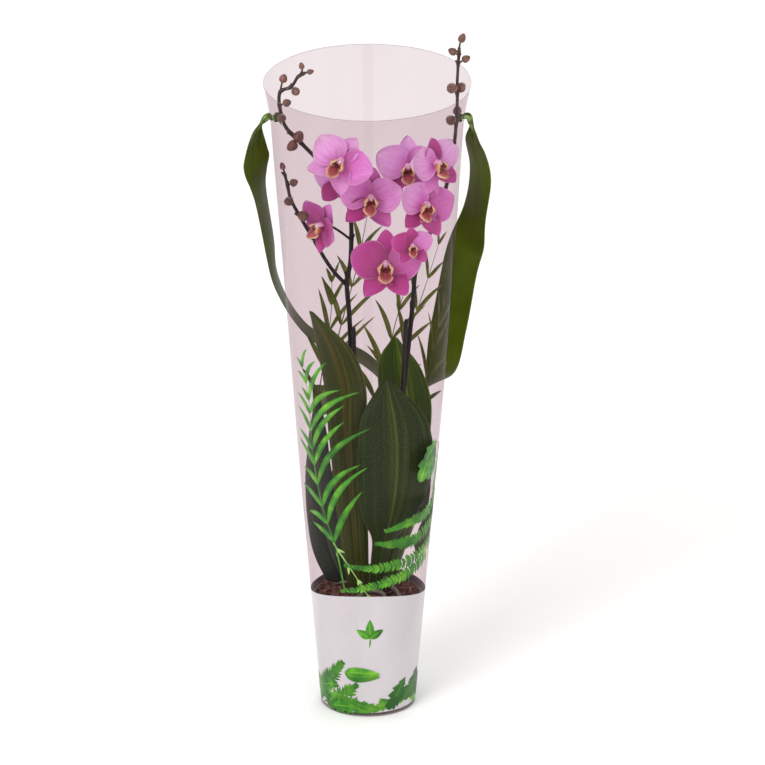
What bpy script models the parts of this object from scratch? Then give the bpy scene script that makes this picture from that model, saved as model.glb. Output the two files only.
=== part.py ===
"""A potted moth orchid in its clear carry sleeve.

The plant stands in a 12 cm nursery pot of bark. The pot wedges in a tapered sleeve of clear film, and a
ribbon handle hangs from two slots near the sleeve's rim. The origin is the bottom centre, +Z is up, the
front of the plant faces -Y, and every size is in metres.
"""

import math

import bmesh
import bpy
from mathutils import Matrix, Vector

MM = 0.001

# Driving sizes
GAP = 0.3 * MM  # left between pieces that touch
TURN_STEPS = 40  # facets round every turned piece

POT_RIM_R = 58.5 * MM
POT_BASE_R = 44 * MM
POT_HEIGHT = 118 * MM
POT_WALL = 1.2 * MM
POT_FLOOR = 2 * MM
POT_LIP_HEIGHT = 9 * MM
POT_LIP_STEP = 2.4 * MM  # how far the wall stands inside the lip
POT_HOLES = 5
POT_HOLE_R = 5 * MM
POT_HOLE_RING_R = 28 * MM

BARK_BELOW_RIM = 3 * MM
BARK_CROWN = 9 * MM  # how far the bark is heaped over its edge
BARK_HEAP = ((0.45, 0.85), (0.8, 0.4))  # shares of its radius, and of its crown there
STAKE_HOLE_SHARE = 0.45  # of the stake's length, enough to come out of the bark

SLEEVE_HEIGHT = 694 * MM
SLEEVE_FILM = 0.4 * MM
SLEEVE_TAPER = 0.079  # radius gained per unit of height
SLEEVE_BELLY = 1.8 * MM  # how far the middle stands outside a straight cone
SLEEVE_FLARE = 4 * MM  # how far the rim opens beyond the taper
SLEEVE_FLARE_HEIGHT = 42 * MM
SLEEVE_LEVELS = 9

SLOT_BELOW_RIM = 39 * MM
SLOT_WIDTH = 13 * MM
SLOT_HEIGHT = 9 * MM
SLOT_CUT = 40 * MM  # length of the drum that cuts a slot

RIBBON_WIDTH = 38 * MM
RIBBON_THICKNESS = 0.8 * MM
RIBBON_NECK_WIDTH = 9 * MM  # gathered, where it passes a slot
RIBBON_NECK_THICKNESS = 3.2 * MM
RIBBON_KNOT_WIDTH = 11 * MM
RIBBON_KNOT_THICKNESS = 5 * MM
RIBBON_SECTIONS = 96
SLOT_REACH_IN = 4.5 * MM  # how far inside the film the knot's end lies

STEM_R = 2.5 * MM
STEM_TIP_R = 1.3 * MM
PEDICEL_R = 1.1 * MM
PEDICEL_STEPS = 3
PEDICEL_FLARE = 1.3  # how much thicker a bloom's pedicel is where it leaves the spike
BLOOM_BEND = 8 * MM  # how far behind a bloom its pedicel starts to turn
BUD_BEND = 2.5 * MM
STAKE_R = 2.2 * MM
CLIP_WALL = 1.2 * MM
CLIP_HEIGHT = 6 * MM
CLIP_ABOVE_BARK = 100 * MM
CLIP_SIDES = 20
ROUTE_SAMPLES = 60  # points looked at to find where a stem or stake is at a height

LEAF_THICKNESS = 1.5 * MM
LEAF_SECTIONS = 13
LEAF_COLUMNS = (-1, -0.5, 0, 0.5, 1)

FLOWER_R = 34 * MM
TEPAL_THICKNESS = 1.0 * MM
TEPAL_CUP = 5 * MM
LIP_R = 10.5 * MM
LIP_CUP = 7 * MM
LIP_STANDOFF = 2.2 * MM
TEPAL_SPOKES = 30
LIP_SPOKES = 16
# Each petal of a bloom and lobe of its lip: direction and half width in degrees, and reach as a share
TEPAL_LOBES = ((0, 38, 0.95), (66, 52, 1.0), (-66, 52, 1.0), (140, 38, 0.92), (-140, 38, 0.92))
TEPAL_HUB = 0.45
LIP_LOBES = ((180, 50, 1.0), (60, 45, 0.8), (-60, 45, 0.8))
LIP_HUB = 0.35
LOBE_ROUNDNESS = 0.4  # power that rounds a lobe's end, from 0 for square to 1 for pointed
ROSETTE_RINGS = (0.34, 0.72, 1.0)
BUD_SWELL = 0.18  # how much wider a bud's lower half is than its middle

# The neck radius that the plant's sideways places below are written for
PLANT_NECK_R = 101 * MM

GREEN_LEAF = (0.07, 0.13, 0.03, 1.0)
STEM_BROWN = (0.07, 0.05, 0.04, 1.0)
BUD_BROWN = (0.16, 0.07, 0.05, 1.0)
BLACK_PLASTIC = (0.02, 0.02, 0.02, 1.0)
ORCHID_PINK = (0.66, 0.25, 0.58, 1.0)
LIP_OCHRE = (0.55, 0.26, 0.12, 1.0)
BARK_BROWN = (0.12, 0.07, 0.045, 1.0)
POT_PLASTIC = (0.42, 0.40, 0.38, 1.0)
CLEAR_FILM = (0.85, 0.84, 0.85, 0.25)
RIBBON_GREEN = (0.08, 0.1, 0.02, 1.0)


def belly(z):
    """How far the film stands outside a straight cone."""
    return SLEEVE_BELLY * math.sin(math.pi * min(z / flare_start(), 1.0))


def flare_start():
    return SLEEVE_HEIGHT - SLEEVE_FLARE_HEIGHT


def sleeve_base_radius():
    """The outer radius at the ground that makes the cone close on the pot's rim."""
    return POT_RIM_R + GAP + SLEEVE_FILM - SLEEVE_TAPER * POT_HEIGHT - belly(POT_HEIGHT)


def sleeve_radius(z):
    """The film's outer radius at a height."""
    opened = max(z - flare_start(), 0.0) / SLEEVE_FLARE_HEIGHT
    return sleeve_base_radius() + SLEEVE_TAPER * z + belly(z) + SLEEVE_FLARE * opened**1.5


def slot_height():
    return SLEEVE_HEIGHT - SLOT_BELOW_RIM


def bark_edge():
    return POT_HEIGHT - BARK_BELOW_RIM


def place(x, y, z):
    """A point of the plant, in millimetres, spread sideways as wide as the sleeve lets it."""
    spread = sleeve_radius(flare_start()) / PLANT_NECK_R
    return Vector((x * spread * MM, y * spread * MM, bark_edge() + (z - 115) * MM))


def smooth(points, count):
    """Evenly numbered points on a Catmull-Rom curve through the given ones."""
    first, last = points[0] * 2 - points[1], points[-1] * 2 - points[-2]
    padded = [first, *points, last]
    found = []
    for step in range(count):
        along = step * (len(points) - 1) / (count - 1)
        i = min(int(along), len(points) - 2)
        t = along - i
        a, b, c, d = padded[i : i + 4]
        found.append(
            0.5
            * (
                2 * b
                + (c - a) * t
                + (2 * a - 5 * b + 4 * c - d) * t**2
                + (3 * b - a - 3 * c + d) * t**3
            )
        )
    return found


def eased(values, share):
    """A value part way along a list, with straight runs between its entries."""
    along = share * (len(values) - 1)
    i = min(int(along), len(values) - 2)
    return values[i] + (values[i + 1] - values[i]) * (along - i)


def clear_scene():
    for obj in list(bpy.data.objects):
        bpy.data.objects.remove(obj, do_unlink=True)


def new_collection(name):
    collection = bpy.data.collections.new(name)
    bpy.context.scene.collection.children.link(collection)
    return collection


def material(name, colour, roughness, alpha=1.0):
    found = bpy.data.materials.get(name)
    if found:
        return found
    made = bpy.data.materials.new(name)
    made.use_nodes = True
    shader = made.node_tree.nodes["Principled BSDF"]
    shader.inputs["Base Color"].default_value = (*colour[:3], 1.0)
    shader.inputs["Roughness"].default_value = roughness
    shader.inputs["Alpha"].default_value = alpha
    made.diffuse_color = colour
    return made


def add(name, mesh, finish, collection):
    obj = bpy.data.objects.new(name, mesh)
    collection.objects.link(obj)
    if finish:
        mesh.materials.clear()
        mesh.materials.append(finish)
    return obj


def grid_mesh(name, rows, closed=False):
    """A sheet through rows of points; closed joins each row's last point to its first."""
    bm = bmesh.new()
    made = [[bm.verts.new(point) for point in row] for row in rows]
    for lower, upper in zip(made, made[1:]):
        for i in range(len(lower) - (0 if closed else 1)):
            j = (i + 1) % len(lower)
            bm.faces.new((lower[i], lower[j], upper[j], upper[i]))
    mesh = bpy.data.meshes.new(name)
    bm.to_mesh(mesh)
    bm.free()
    return mesh


def baked(obj):
    """Replaces an object by one whose mesh holds its modifiers, closed and facing out."""
    bpy.context.view_layer.update()
    evaluated = obj.evaluated_get(bpy.context.evaluated_depsgraph_get())
    mesh = bpy.data.meshes.new_from_object(evaluated)
    bm = bmesh.new()
    bm.from_mesh(mesh)
    bmesh.ops.remove_doubles(bm, verts=bm.verts, dist=1e-6)
    bmesh.ops.recalc_face_normals(bm, faces=bm.faces)
    bm.to_mesh(mesh)
    bm.free()
    name, finish, collection = obj.name, obj.active_material, obj.users_collection[0]
    matrix = obj.matrix_world.copy()
    bpy.data.objects.remove(obj, do_unlink=True)
    made = add(name, mesh, finish, collection)
    made.matrix_world = matrix
    return made


def round_off(obj):
    obj.data.shade_smooth()
    obj.data.set_sharp_from_angle(angle=math.radians(40))


def cutter_drum(name, radius, depth, location, collection, rotation=(0, 0, 0), sides=16):
    bm = bmesh.new()
    bmesh.ops.create_cone(
        bm, cap_ends=True, segments=sides, radius1=radius, radius2=radius, depth=depth
    )
    mesh = bpy.data.meshes.new(name)
    bm.to_mesh(mesh)
    bm.free()
    obj = add(name, mesh, None, collection)
    obj.location = location
    obj.rotation_euler = rotation
    obj.hide_render = True
    obj.display_type = "WIRE"
    return obj


def combine(obj, other, operation):
    modifier = obj.modifiers.new(operation.title() + " " + other.name, "BOOLEAN")
    modifier.operation = operation
    modifier.object = other
    modifier.solver = "EXACT"


def turned(name, profile, finish, collection, thickness=0.0):
    """Turns a profile about Z. It starts and ends on the axis, or is an open line given a thickness."""
    bm = bmesh.new()
    corners = [bm.verts.new((radius, 0, height)) for radius, height in profile]
    for a, b in zip(corners, corners[1:]):
        bm.edges.new((a, b))
    mesh = bpy.data.meshes.new(name)
    bm.to_mesh(mesh)
    bm.free()
    obj = add(name, mesh, finish, collection)
    screw = obj.modifiers.new("Screw", "SCREW")
    screw.steps = TURN_STEPS
    screw.render_steps = TURN_STEPS
    screw.use_merge_vertices = True
    screw.merge_threshold = 0.00001
    if thickness:
        solidify = obj.modifiers.new("Film", "SOLIDIFY")
        solidify.thickness = thickness
        solidify.offset = -1.0
    return obj


def nursery_pot(parts, cutters):
    """A tapered plastic pot with a stepped lip and drainage holes in its floor."""
    finish = material("pot_plastic", POT_PLASTIC, 0.45)
    wall_top = POT_RIM_R - POT_LIP_STEP
    lip_bottom = POT_HEIGHT - POT_LIP_HEIGHT
    profile = [
        (0, 0),
        (POT_BASE_R, 0),
        (wall_top - SLEEVE_TAPER * POT_LIP_HEIGHT, lip_bottom),
        (POT_RIM_R - SLEEVE_TAPER * POT_LIP_HEIGHT, lip_bottom),
        (POT_RIM_R, POT_HEIGHT),
        (pot_inner_radius(POT_HEIGHT), POT_HEIGHT),
        (pot_inner_radius(lip_bottom), lip_bottom),
        (POT_BASE_R - POT_WALL, POT_FLOOR),
        (0, POT_FLOOR),
    ]
    pot = baked(turned("nursery_pot", profile, finish, parts))
    for i in range(POT_HOLES):
        angle = 2 * math.pi * i / POT_HOLES
        centre = (POT_HOLE_RING_R * math.cos(angle), POT_HOLE_RING_R * math.sin(angle), 0)
        drum = cutter_drum(f"drain_{i + 1}", POT_HOLE_R, 6 * POT_FLOOR, centre, cutters)
        combine(pot, drum, "DIFFERENCE")


def pot_inner_radius(z):
    """The inside of the pot's wall at a height."""
    lip_bottom = POT_HEIGHT - POT_LIP_HEIGHT
    neck = POT_RIM_R - POT_LIP_STEP - SLEEVE_TAPER * POT_LIP_HEIGHT - POT_WALL
    if z > lip_bottom:
        return neck + (z - lip_bottom) * 2 * SLEEVE_TAPER
    foot = POT_BASE_R - POT_WALL
    return foot + (neck - foot) * (z - POT_FLOOR) / (lip_bottom - POT_FLOOR)


def growing_medium(parts, cutters, stakes):
    """The bark that fills the pot, heaped in the middle and pierced by the stakes."""
    finish = material("bark", BARK_BROWN, 0.9)
    bottom = POT_FLOOR + GAP
    shoulder = POT_HEIGHT - POT_LIP_HEIGHT
    edge = bark_edge()
    profile = [
        (0, edge + BARK_CROWN),
        *[(pot_inner_radius(edge) * out, edge + BARK_CROWN * up) for out, up in BARK_HEAP],
        (pot_inner_radius(edge) - 2 * GAP, edge),
        (pot_inner_radius(shoulder) - 2 * GAP, shoulder),
        (pot_inner_radius(bottom) - 2 * GAP, bottom),
        (0, bottom),
    ]
    bark = baked(turned("bark_medium", profile, finish, parts))
    for i, (foot, top) in enumerate(stakes):
        hole = tube(
            f"stake_hole_{i + 1}",
            [foot + (foot - top).normalized() * 2 * GAP, foot.lerp(top, STAKE_HOLE_SHARE)],
            [STAKE_R + 2 * GAP] * 2,
            None,
            cutters,
        )
        hole.hide_render = True
        hole.display_type = "WIRE"
        combine(bark, hole, "DIFFERENCE")


def carry_sleeve(parts, cutters):
    """The tapered tube of clear film, open at both ends, with a slot at each side for the ribbon."""
    finish = material("clear_film", CLEAR_FILM, 0.08, alpha=0.25)
    heights = [flare_start() * i / (SLEEVE_LEVELS - 1) for i in range(SLEEVE_LEVELS)]
    heights += [flare_start() + SLEEVE_FLARE_HEIGHT * share for share in (0.5, 1.0)]
    profile = [(sleeve_radius(z), z) for z in reversed(heights)]
    sleeve = baked(turned("carry_sleeve", profile, finish, parts, SLEEVE_FILM))
    for side, word in ((-1, "left"), (1, "right")):
        slot = cutter_drum(
            f"slot_{word}",
            0.5,
            SLOT_CUT,
            (side * sleeve_radius(slot_height()), 0, slot_height()),
            cutters,
            rotation=(0, math.pi / 2, 0),
        )
        slot.scale = (SLOT_HEIGHT, SLOT_WIDTH, 1)
        combine(sleeve, slot, "DIFFERENCE")


# The ribbon's stations, from the left slot down behind the sleeve and up to the right slot. Each holds the
# direction round the sleeve (180 left, 90 back, 0 right), how far it hangs below the slots (mm), how far it
# stands off the film in half widths, and the direction of its width in plan (0 along X, 90 along Y).
RIBBON_STATIONS = (
    (180, 14, 0.74, 62), (179, 48, 0.97, 49), (177, 72, 0.95, 62), (175, 96, 0.9, 71),
    (171, 150, 0.7, 80), (160, 197, 0.75, 87), (128, 273, 0.95, 90), (93, 311, 1.15, 90),
    (69, 342, 1.15, 90), (42, 322, 1.05, 45), (36, 262, 1.15, 3), (25, 184, 1.0, 0),
    (13, 125, 1.1, -48), (5, 68, 1.12, -55), (1, 32, 0.66, -62), (0, 13, 0.45, -75),
)


def ribbon_stations():
    """Every station as direction, drop and stand-off in metres, and turn of its width."""
    depths = (-SLOT_REACH_IN, -0.4 * SLOT_REACH_IN, 0.8 * SLOT_REACH_IN)
    inlet = [Vector((180, 0, depth, 90)) for depth in depths]
    outlet = [Vector((0, 0, depth, -90)) for depth in reversed(depths)]
    free = [
        Vector((turn, drop * MM, off * RIBBON_WIDTH / 2, plan))
        for turn, drop, off, plan in RIBBON_STATIONS
    ]
    return inlet + free + outlet


def ribbon_handle(parts):
    """The satin ribbon: gathered through each slot, knotted inside and hanging behind the sleeve."""
    finish = material("green_satin", RIBBON_GREEN, 0.35)
    given = ribbon_stations()
    stations = smooth(given, RIBBON_SECTIONS)
    centres, across = [], []
    for turn, drop, off, plan in stations:
        height = slot_height() - drop
        outward = Vector((math.cos(math.radians(turn)), math.sin(math.radians(turn)), 0))
        centres.append(outward * (sleeve_radius(height) + off) + Vector((0, 0, height)))
        across.append(Vector((math.cos(math.radians(plan)), math.sin(math.radians(plan)), 0)))
    widths = [RIBBON_KNOT_WIDTH, RIBBON_NECK_WIDTH, RIBBON_NECK_WIDTH, 0.5 * RIBBON_WIDTH]
    thick = [RIBBON_KNOT_THICKNESS, RIBBON_NECK_THICKNESS, RIBBON_NECK_THICKNESS, 2 * RIBBON_THICKNESS]
    widths += [RIBBON_WIDTH] * (len(given) - 2 * len(widths)) + widths[::-1]
    thick += [RIBBON_THICKNESS] * (len(given) - 2 * len(thick)) + thick[::-1]
    rows = []
    for i, centre in enumerate(centres):
        ahead = centres[min(i + 1, len(centres) - 1)] - centres[max(i - 1, 0)]
        ahead.normalize()
        side = (across[i] - ahead * across[i].dot(ahead)).normalized()
        out = ahead.cross(side)
        share = i / (len(centres) - 1)
        half = eased(widths, share) / 2
        deep = eased(thick, share) / 2
        corners = ((-1, 1), (0, 1), (1, 1), (1, -1), (0, -1), (-1, -1))
        rows.append([centre + side * half * a + out * deep * b for a, b in corners])
    mesh = bpy.data.meshes.new("ribbon_handle")
    bm = bmesh.new()
    made = [[bm.verts.new(point) for point in row] for row in rows]
    for lower, upper in zip(made, made[1:]):
        for i in range(6):
            j = (i + 1) % 6
            if i < 3:
                bm.faces.new((lower[i], lower[j], upper[j]))
                bm.faces.new((lower[i], upper[j], upper[i]))
            else:  # the other diagonal, so that both faces of the ribbon fold along the same lines
                bm.faces.new((lower[i], lower[j], upper[i]))
                bm.faces.new((lower[j], upper[j], upper[i]))
    bmesh.ops.holes_fill(bm, edges=[e for e in bm.edges if e.is_boundary])
    bmesh.ops.recalc_face_normals(bm, faces=bm.faces)
    bm.to_mesh(mesh)
    bm.free()
    add("ribbon_handle", mesh, finish, parts)


def tube(name, points, radii, finish, collection, per_point=2, sides=2):
    """A round rod through points, as a closed mesh."""
    count = per_point * (len(points) - 1) + 1 if len(points) > 2 else 2
    route = smooth(points, count) if len(points) > 2 else points
    curve = bpy.data.curves.new(name, "CURVE")
    curve.dimensions = "3D"
    curve.bevel_depth = 1.0
    curve.bevel_resolution = sides
    curve.use_fill_caps = True
    spline = curve.splines.new("POLY")
    spline.points.add(len(route) - 1)
    for i, (point, where) in enumerate(zip(spline.points, route)):
        point.co = (*where, 1)
        point.radius = eased(radii, i / (len(route) - 1))
    obj = bpy.data.objects.new(name, curve)
    collection.objects.link(obj)
    if finish:
        curve.materials.append(finish)
    return baked(obj)


def spike(name, route, shoots, parts, cutters):
    """A flower spike: its main stem with every side branch and pedicel grown into it."""
    finish = material("stem", STEM_BROWN, 0.6)
    stem = tube(name, route, [STEM_R, STEM_R, 0.8 * STEM_R, STEM_TIP_R], finish, parts)
    for i, (points, thick, thin) in enumerate(shoots):
        shoot = tube(f"{name}_shoot_{i + 1}", points, [thick, thin], finish, cutters, 1, 1)
        combine(stem, shoot, "UNION")
        stem = baked(stem)
        bpy.data.objects.remove(shoot, do_unlink=True)


def lobe(angle, centre, half_width, reach):
    """How far a petal reaches in a direction, given its own direction and its half width in radians."""
    off = abs((angle - centre + math.pi) % (2 * math.pi) - math.pi) / half_width
    return reach * math.cos(off * math.pi / 2) ** LOBE_ROUNDNESS if off < 1 else 0.0


def rosette(name, lobes, hub, radius, cup, spokes, finish, collection):
    """A ring of joined petals. lobes holds each petal's direction, half width and reach."""
    rows = []
    for share in ROSETTE_RINGS:
        row = []
        for i in range(spokes):
            angle = 2 * math.pi * i / spokes
            edge = max(
                [hub] + [lobe(angle, math.radians(a), math.radians(w), far) for a, w, far in lobes]
            )
            reach = radius * edge * share
            row.append(
                Vector((reach * math.sin(angle), -cup * (reach / radius) ** 2, reach * math.cos(angle)))
            )
        rows.append(row)
    bm = bmesh.new()
    mesh = grid_mesh(name, rows, closed=True)
    bm.from_mesh(mesh)
    bm.verts.ensure_lookup_table()
    bm.faces.new([bm.verts[i] for i in range(spokes)])
    bmesh.ops.recalc_face_normals(bm, faces=bm.faces)
    bm.to_mesh(mesh)
    bm.free()
    obj = add(name, mesh, finish, collection)
    solidify = obj.modifiers.new("Thickness", "SOLIDIFY")
    solidify.thickness = TEPAL_THICKNESS
    solidify.offset = 0.0
    return obj


def facing(yaw, pitch, roll):
    """Turns a flower that faces -Y: yaw towards +X, pitch up, and roll clockwise as seen from its front."""
    return (
        Matrix.Rotation(math.radians(yaw), 4, "Z")
        @ Matrix.Rotation(math.radians(-pitch), 4, "X")
        @ Matrix.Rotation(math.radians(roll), 4, "Y")
    )


def flower(number, centre, turn, size, parts):
    """One bloom: its five joined tepals and, standing off their middle, its lip."""
    pink = material("tepal", ORCHID_PINK, 0.5)
    ochre = material("lip", LIP_OCHRE, 0.45)
    pose = Matrix.Translation(centre) @ facing(*turn)
    tepals = rosette(
        f"flower_{number}_tepals",
        TEPAL_LOBES,
        TEPAL_HUB,
        FLOWER_R * size,
        TEPAL_CUP * size,
        TEPAL_SPOKES,
        pink,
        parts,
    )
    tepals.matrix_world = pose
    lip = rosette(
        f"flower_{number}_lip",
        LIP_LOBES,
        LIP_HUB,
        LIP_R * size,
        LIP_CUP * size,
        LIP_SPOKES,
        ochre,
        parts,
    )
    lip.matrix_world = pose @ Matrix.Translation((0, -LIP_STANDOFF, 0))


def bud(name, centre, length, radius, direction, parts):
    """A closed bud, egg shaped along its direction."""
    finish = material("bud", BUD_BROWN, 0.5)
    bm = bmesh.new()
    bmesh.ops.create_uvsphere(bm, u_segments=8, v_segments=6, radius=1.0)
    for vert in bm.verts:
        swell = 1.0 - BUD_SWELL * vert.co.z
        vert.co = (vert.co.x * radius * swell, vert.co.y * radius * swell, vert.co.z * length / 2)
    mesh = bpy.data.meshes.new(name)
    bm.to_mesh(mesh)
    bm.free()
    obj = add(name, mesh, finish, parts)
    obj.rotation_mode = "QUATERNION"
    obj.rotation_quaternion = direction.to_track_quat("Z", "Y")
    obj.location = centre
    round_off(obj)


def leaf(name, spine, widths, side, bulge, parts):
    """A strap leaf along its spine. side is the direction across it, as a turn about Z in degrees."""
    finish = material("leaf", GREEN_LEAF, 0.4)
    spread = sleeve_radius(flare_start()) / PLANT_NECK_R
    centres = smooth([place(*point) for point in spine], LEAF_SECTIONS)
    halves = smooth([Vector((width, 0)) for width in widths], LEAF_SECTIONS)
    rows = []
    for i, centre in enumerate(centres):
        share = i / (len(centres) - 1)
        turn = math.radians(eased(side, share))
        across = Vector((math.cos(turn), math.sin(turn), 0))
        out = Vector((math.sin(turn), -math.cos(turn), 0))
        half = halves[i].x * MM * spread
        crown = eased(bulge, share) * MM * spread
        rows.append(
            [centre + across * half * w + out * crown * (1 - w * w) for w in LEAF_COLUMNS]
        )
    obj = add(name, grid_mesh(name, rows), finish, parts)
    solidify = obj.modifiers.new("Thickness", "SOLIDIFY")
    solidify.thickness = LEAF_THICKNESS
    solidify.offset = 0.0
    round_off(obj)


# Each bloom: middle (mm), its yaw, pitch and roll, its size, and where its pedicel leaves the spike (mm)
LEFT_BLOOMS = (
    ((-29, -38, 620), (-8, 14, 34), 0.93, (-50, -6, 607)),
    ((-31, 8, 579), (165, 0, 0), 0.85, (-31, -8, 584)),
    ((2, -20, 571), (6, 16, 8), 0.92, (-18.5, -6, 550)),
    ((-46, -24, 544), (-50, 0, 30), 0.8, (-18, -5, 520)),
)
RIGHT_BLOOMS = (
    ((70, -33, 615), (34, 16, -10), 0.84, (86, -7, 604)),
    ((58, -38, 570), (24, 18, 20), 0.9, (72, -5, 547)),
    ((42, 12, 592), (0, 20, 0), 0.92, (66, -5, 533)),
    ((46, -58, 534), (8, 12, 0), 0.58, (56, -5, 504)),
    ((19, -37, 502), (-2, 24, 0), 1.02, (50, -4, 486)),
)

LEFT_ROUTE = (
    (-12, 8, 126), (-16, 8, 300), (-19, 6, 419), (-22, 0, 468), (-18, -4, 499), (-18.5, -6, 550),
    (-31, -8, 584), (-50, -6, 607), (-68, -9, 628), (-86, -13, 650), (-92, -15, 674), (-91, -16, 690),
    (-80, -16, 695), (-73, -16, 706), (-67, -16, 710),
)
BRANCH_ROUTE = (
    (-22, 1, 466), (-39, -8, 490), (-58, -14, 526), (-74, -16, 556), (-81, -15, 571), (-84, -13, 585),
    (-87, -12, 597),
)
RIGHT_ROUTE = (
    (12, 10, 126), (28, 12, 260), (43, 8, 402), (47, 2, 449), (50, -4, 486), (59, -5, 513),
    (72, -5, 547), (83, -7, 586), (89, -12, 622), (91.5, -20, 650), (93, -21, 681), (93, -21, 704),
    (95, -20, 740),
)

# Each bud: middle (mm), length, radius (mm), its direction, and where its pedicel leaves the stem (mm)
LEFT_BUDS = (
    ((-72, -21, 642), 13, 5.8, (0.3, -0.5, 1.0), (-70, -9, 630)),
    ((-79, -23, 632), 12, 5.5, (-0.7, -0.6, -0.4), (-78, -11, 640)),
    ((-90, -26, 664), 10, 4.8, (-0.2, -1.0, 0.1), (-91, -14, 664)),
    ((-84, -25, 681), 9, 4.3, (0.8, -0.6, 0.5), (-92, -15, 674)),
    ((-88, -15, 704), 9, 4.4, (0.3, 0.1, 1.0), (-91, -16, 691)),
    ((-75, -24, 693), 9, 4.6, (0.5, -0.9, -0.3), (-82, -16, 695)),
    ((-69, -15, 718), 7, 3.0, (-0.2, 0.2, 1.0), (-72, -16, 707)),
    ((-60, -16, 712), 7, 3.0, (1.0, 0.0, 0.3), (-68, -16, 709.5)),
)
BRANCH_BUDS = (
    ((-67, -26, 555), 12, 5.8, (0.5, -0.8, 0.2), (-73, -16, 553)),
    ((-83, -26, 571), 10, 4.8, (-0.3, -1.0, 0.1), (-80, -15, 569)),
    ((-77, -20, 590), 9, 4.2, (0.7, -0.5, 0.5), (-84, -13, 584)),
    ((-89, -12, 605), 8, 3.0, (-0.3, 0.0, 1.0), (-87, -12, 596)),
)
RIGHT_BUDS = (
    ((86, -31, 664), 11, 5.4, (-0.5, -0.8, 0.3), (91.6, -20, 655)),
    ((93, -10.8, 667), 10, 4.6, (0.1, 0.8, 0.5), (92, -20, 659)),
    ((87, -30, 699), 12, 5.6, (-0.5, -0.9, 0.2), (93, -21, 693)),
    ((97, -11, 693), 12, 5.4, (0.4, 1.0, 0.1), (93, -21, 690)),
    ((102, -20, 728), 9, 4.0, (1.0, 0.0, 0.6), (94, -20.5, 722)),
    ((88, -20, 736), 9, 4.2, (-1.0, 0.0, 0.6), (94.5, -20.2, 730)),
    ((98, -20, 751), 10, 4.0, (0.4, 0.0, 1.0), (95, -20, 738)),
)

STAKES = (
    ("stake_left", (-6, 2, 45), (-15, -2, 419)),
    ("stake_right", (20, 4, 45), (40, -2, 428)),
)

# Each leaf: spine from base to tip, half widths, direction across it and bulge, each from base to tip
LEAVES = (
    (
        "leaf_left_tall",
        ((-10, -3, 127), (-14, -6, 175), (-19, -12, 250), (-22, -17, 310), (-24, -20, 363),
         (-36, -18, 402), (-57, -12, 433)),
        (6, 8, 12, 16, 20, 22, 18, 2),
        (0, -8, -14, -22, -36),
        (1, 3, 4, 4, 2),
    ),
    (
        "leaf_right_back",
        ((18, 22, 127), (26, 30, 180), (36, 36, 250), (40, 38, 310), (34, 38, 360), (28, 36, 394)),
        (6, 12, 20, 26, 31, 32, 22, 3),
        (-10, -20, -30, -32, -28),
        (-2, -4, -5, -4, -2),
    ),
    (
        "leaf_front",
        ((6, -12, 127), (14, -18, 175), (22, -26, 215), (28, -34, 270), (27, -36, 325), (19, -34, 376)),
        (6, 7, 10, 28, 38, 39, 31, 4),
        (0, 8, 13, 14, 8),
        (1, 3, 9, 8, 4),
    ),
    (
        "leaf_right_low",
        ((20, -6, 127), (35, -7, 180), (48, -11, 225), (57, -10, 262), (61, -8, 292)),
        (5, 9, 12, 12, 10, 2),
        (35, 38, 40, 42, 44),
        (1, 2, 2, 2, 1),
    ),
    (
        "leaf_left_low",
        ((-24, 8, 127), (-39, 10, 170), (-48, 11, 220), (-52, 11, 275), (-53, 9, 338)),
        (6, 12, 16, 19, 20, 16, 3),
        (-45, -50, -54, -54, -50),
        (2, 3, 4, 4, 2),
    ),
)


def pedicel(start, end, behind, reach):
    """A short curved stalk from inside a stem that meets a bloom or bud square to its back."""
    stub = end + behind * PEDICEL_R
    bend = stub + behind * reach
    steps = [i / PEDICEL_STEPS for i in range(PEDICEL_STEPS + 1)]
    return [start * (1 - t) ** 2 + bend * 2 * t * (1 - t) + stub * t**2 for t in steps] + [end]


def shoots_for(blooms, buds):
    found = []
    for centre, turn, _, start in blooms:
        behind = facing(*turn) @ Vector((0, 1, 0))
        end = place(*centre) + behind * (TEPAL_THICKNESS / 2 + 2 * GAP)
        stalk = pedicel(place(*start), end, behind, BLOOM_BEND)
        found.append((stalk, PEDICEL_FLARE * PEDICEL_R, PEDICEL_R))
    for centre, length, _, direction, start in buds:
        behind = -Vector(direction).normalized()
        end = place(*centre) + behind * (length / 2 * MM + 2 * GAP)
        found.append((pedicel(place(*start), end, behind, BUD_BEND), PEDICEL_R, 0.7 * PEDICEL_R))
    return found


def at_height(points, z):
    """The point nearest to a height."""
    return min(points, key=lambda point: abs(point.z - z)).copy()


def stem_clip(parts, cutters, route, stake):
    """The loop that holds a stem against its stake, low down between the leaves."""
    finish = material("black_plastic", BLACK_PLASTIC, 0.4)
    stem_point = at_height(smooth(route, ROUTE_SAMPLES), CLIP_ABOVE_BARK + bark_edge())
    rod = [stake[0].lerp(stake[1], i / ROUTE_SAMPLES) for i in range(ROUTE_SAMPLES)]
    stake_point = at_height(rod, stem_point.z)
    middle = stem_point.lerp(stake_point, 0.5)
    apart = stake_point - stem_point
    turn = math.atan2(apart.y, apart.x)
    half = apart.length / 2 + max(STEM_R, STAKE_R) + 3 * GAP
    side = max(STEM_R, STAKE_R) + 3 * GAP
    clip = cutter_drum("stem_clip", 1.0, CLIP_HEIGHT, middle, parts, (0, 0, turn), CLIP_SIDES)
    clip.scale = (half + CLIP_WALL, side + CLIP_WALL, 1)
    clip.hide_render = False
    clip.display_type = "TEXTURED"
    clip.data.materials.append(finish)
    hole = cutter_drum("clip_hole", 1.0, 3 * CLIP_HEIGHT, middle, cutters, (0, 0, turn), CLIP_SIDES)
    hole.scale = (half, side, 1)
    combine(clip, hole, "DIFFERENCE")


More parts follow.
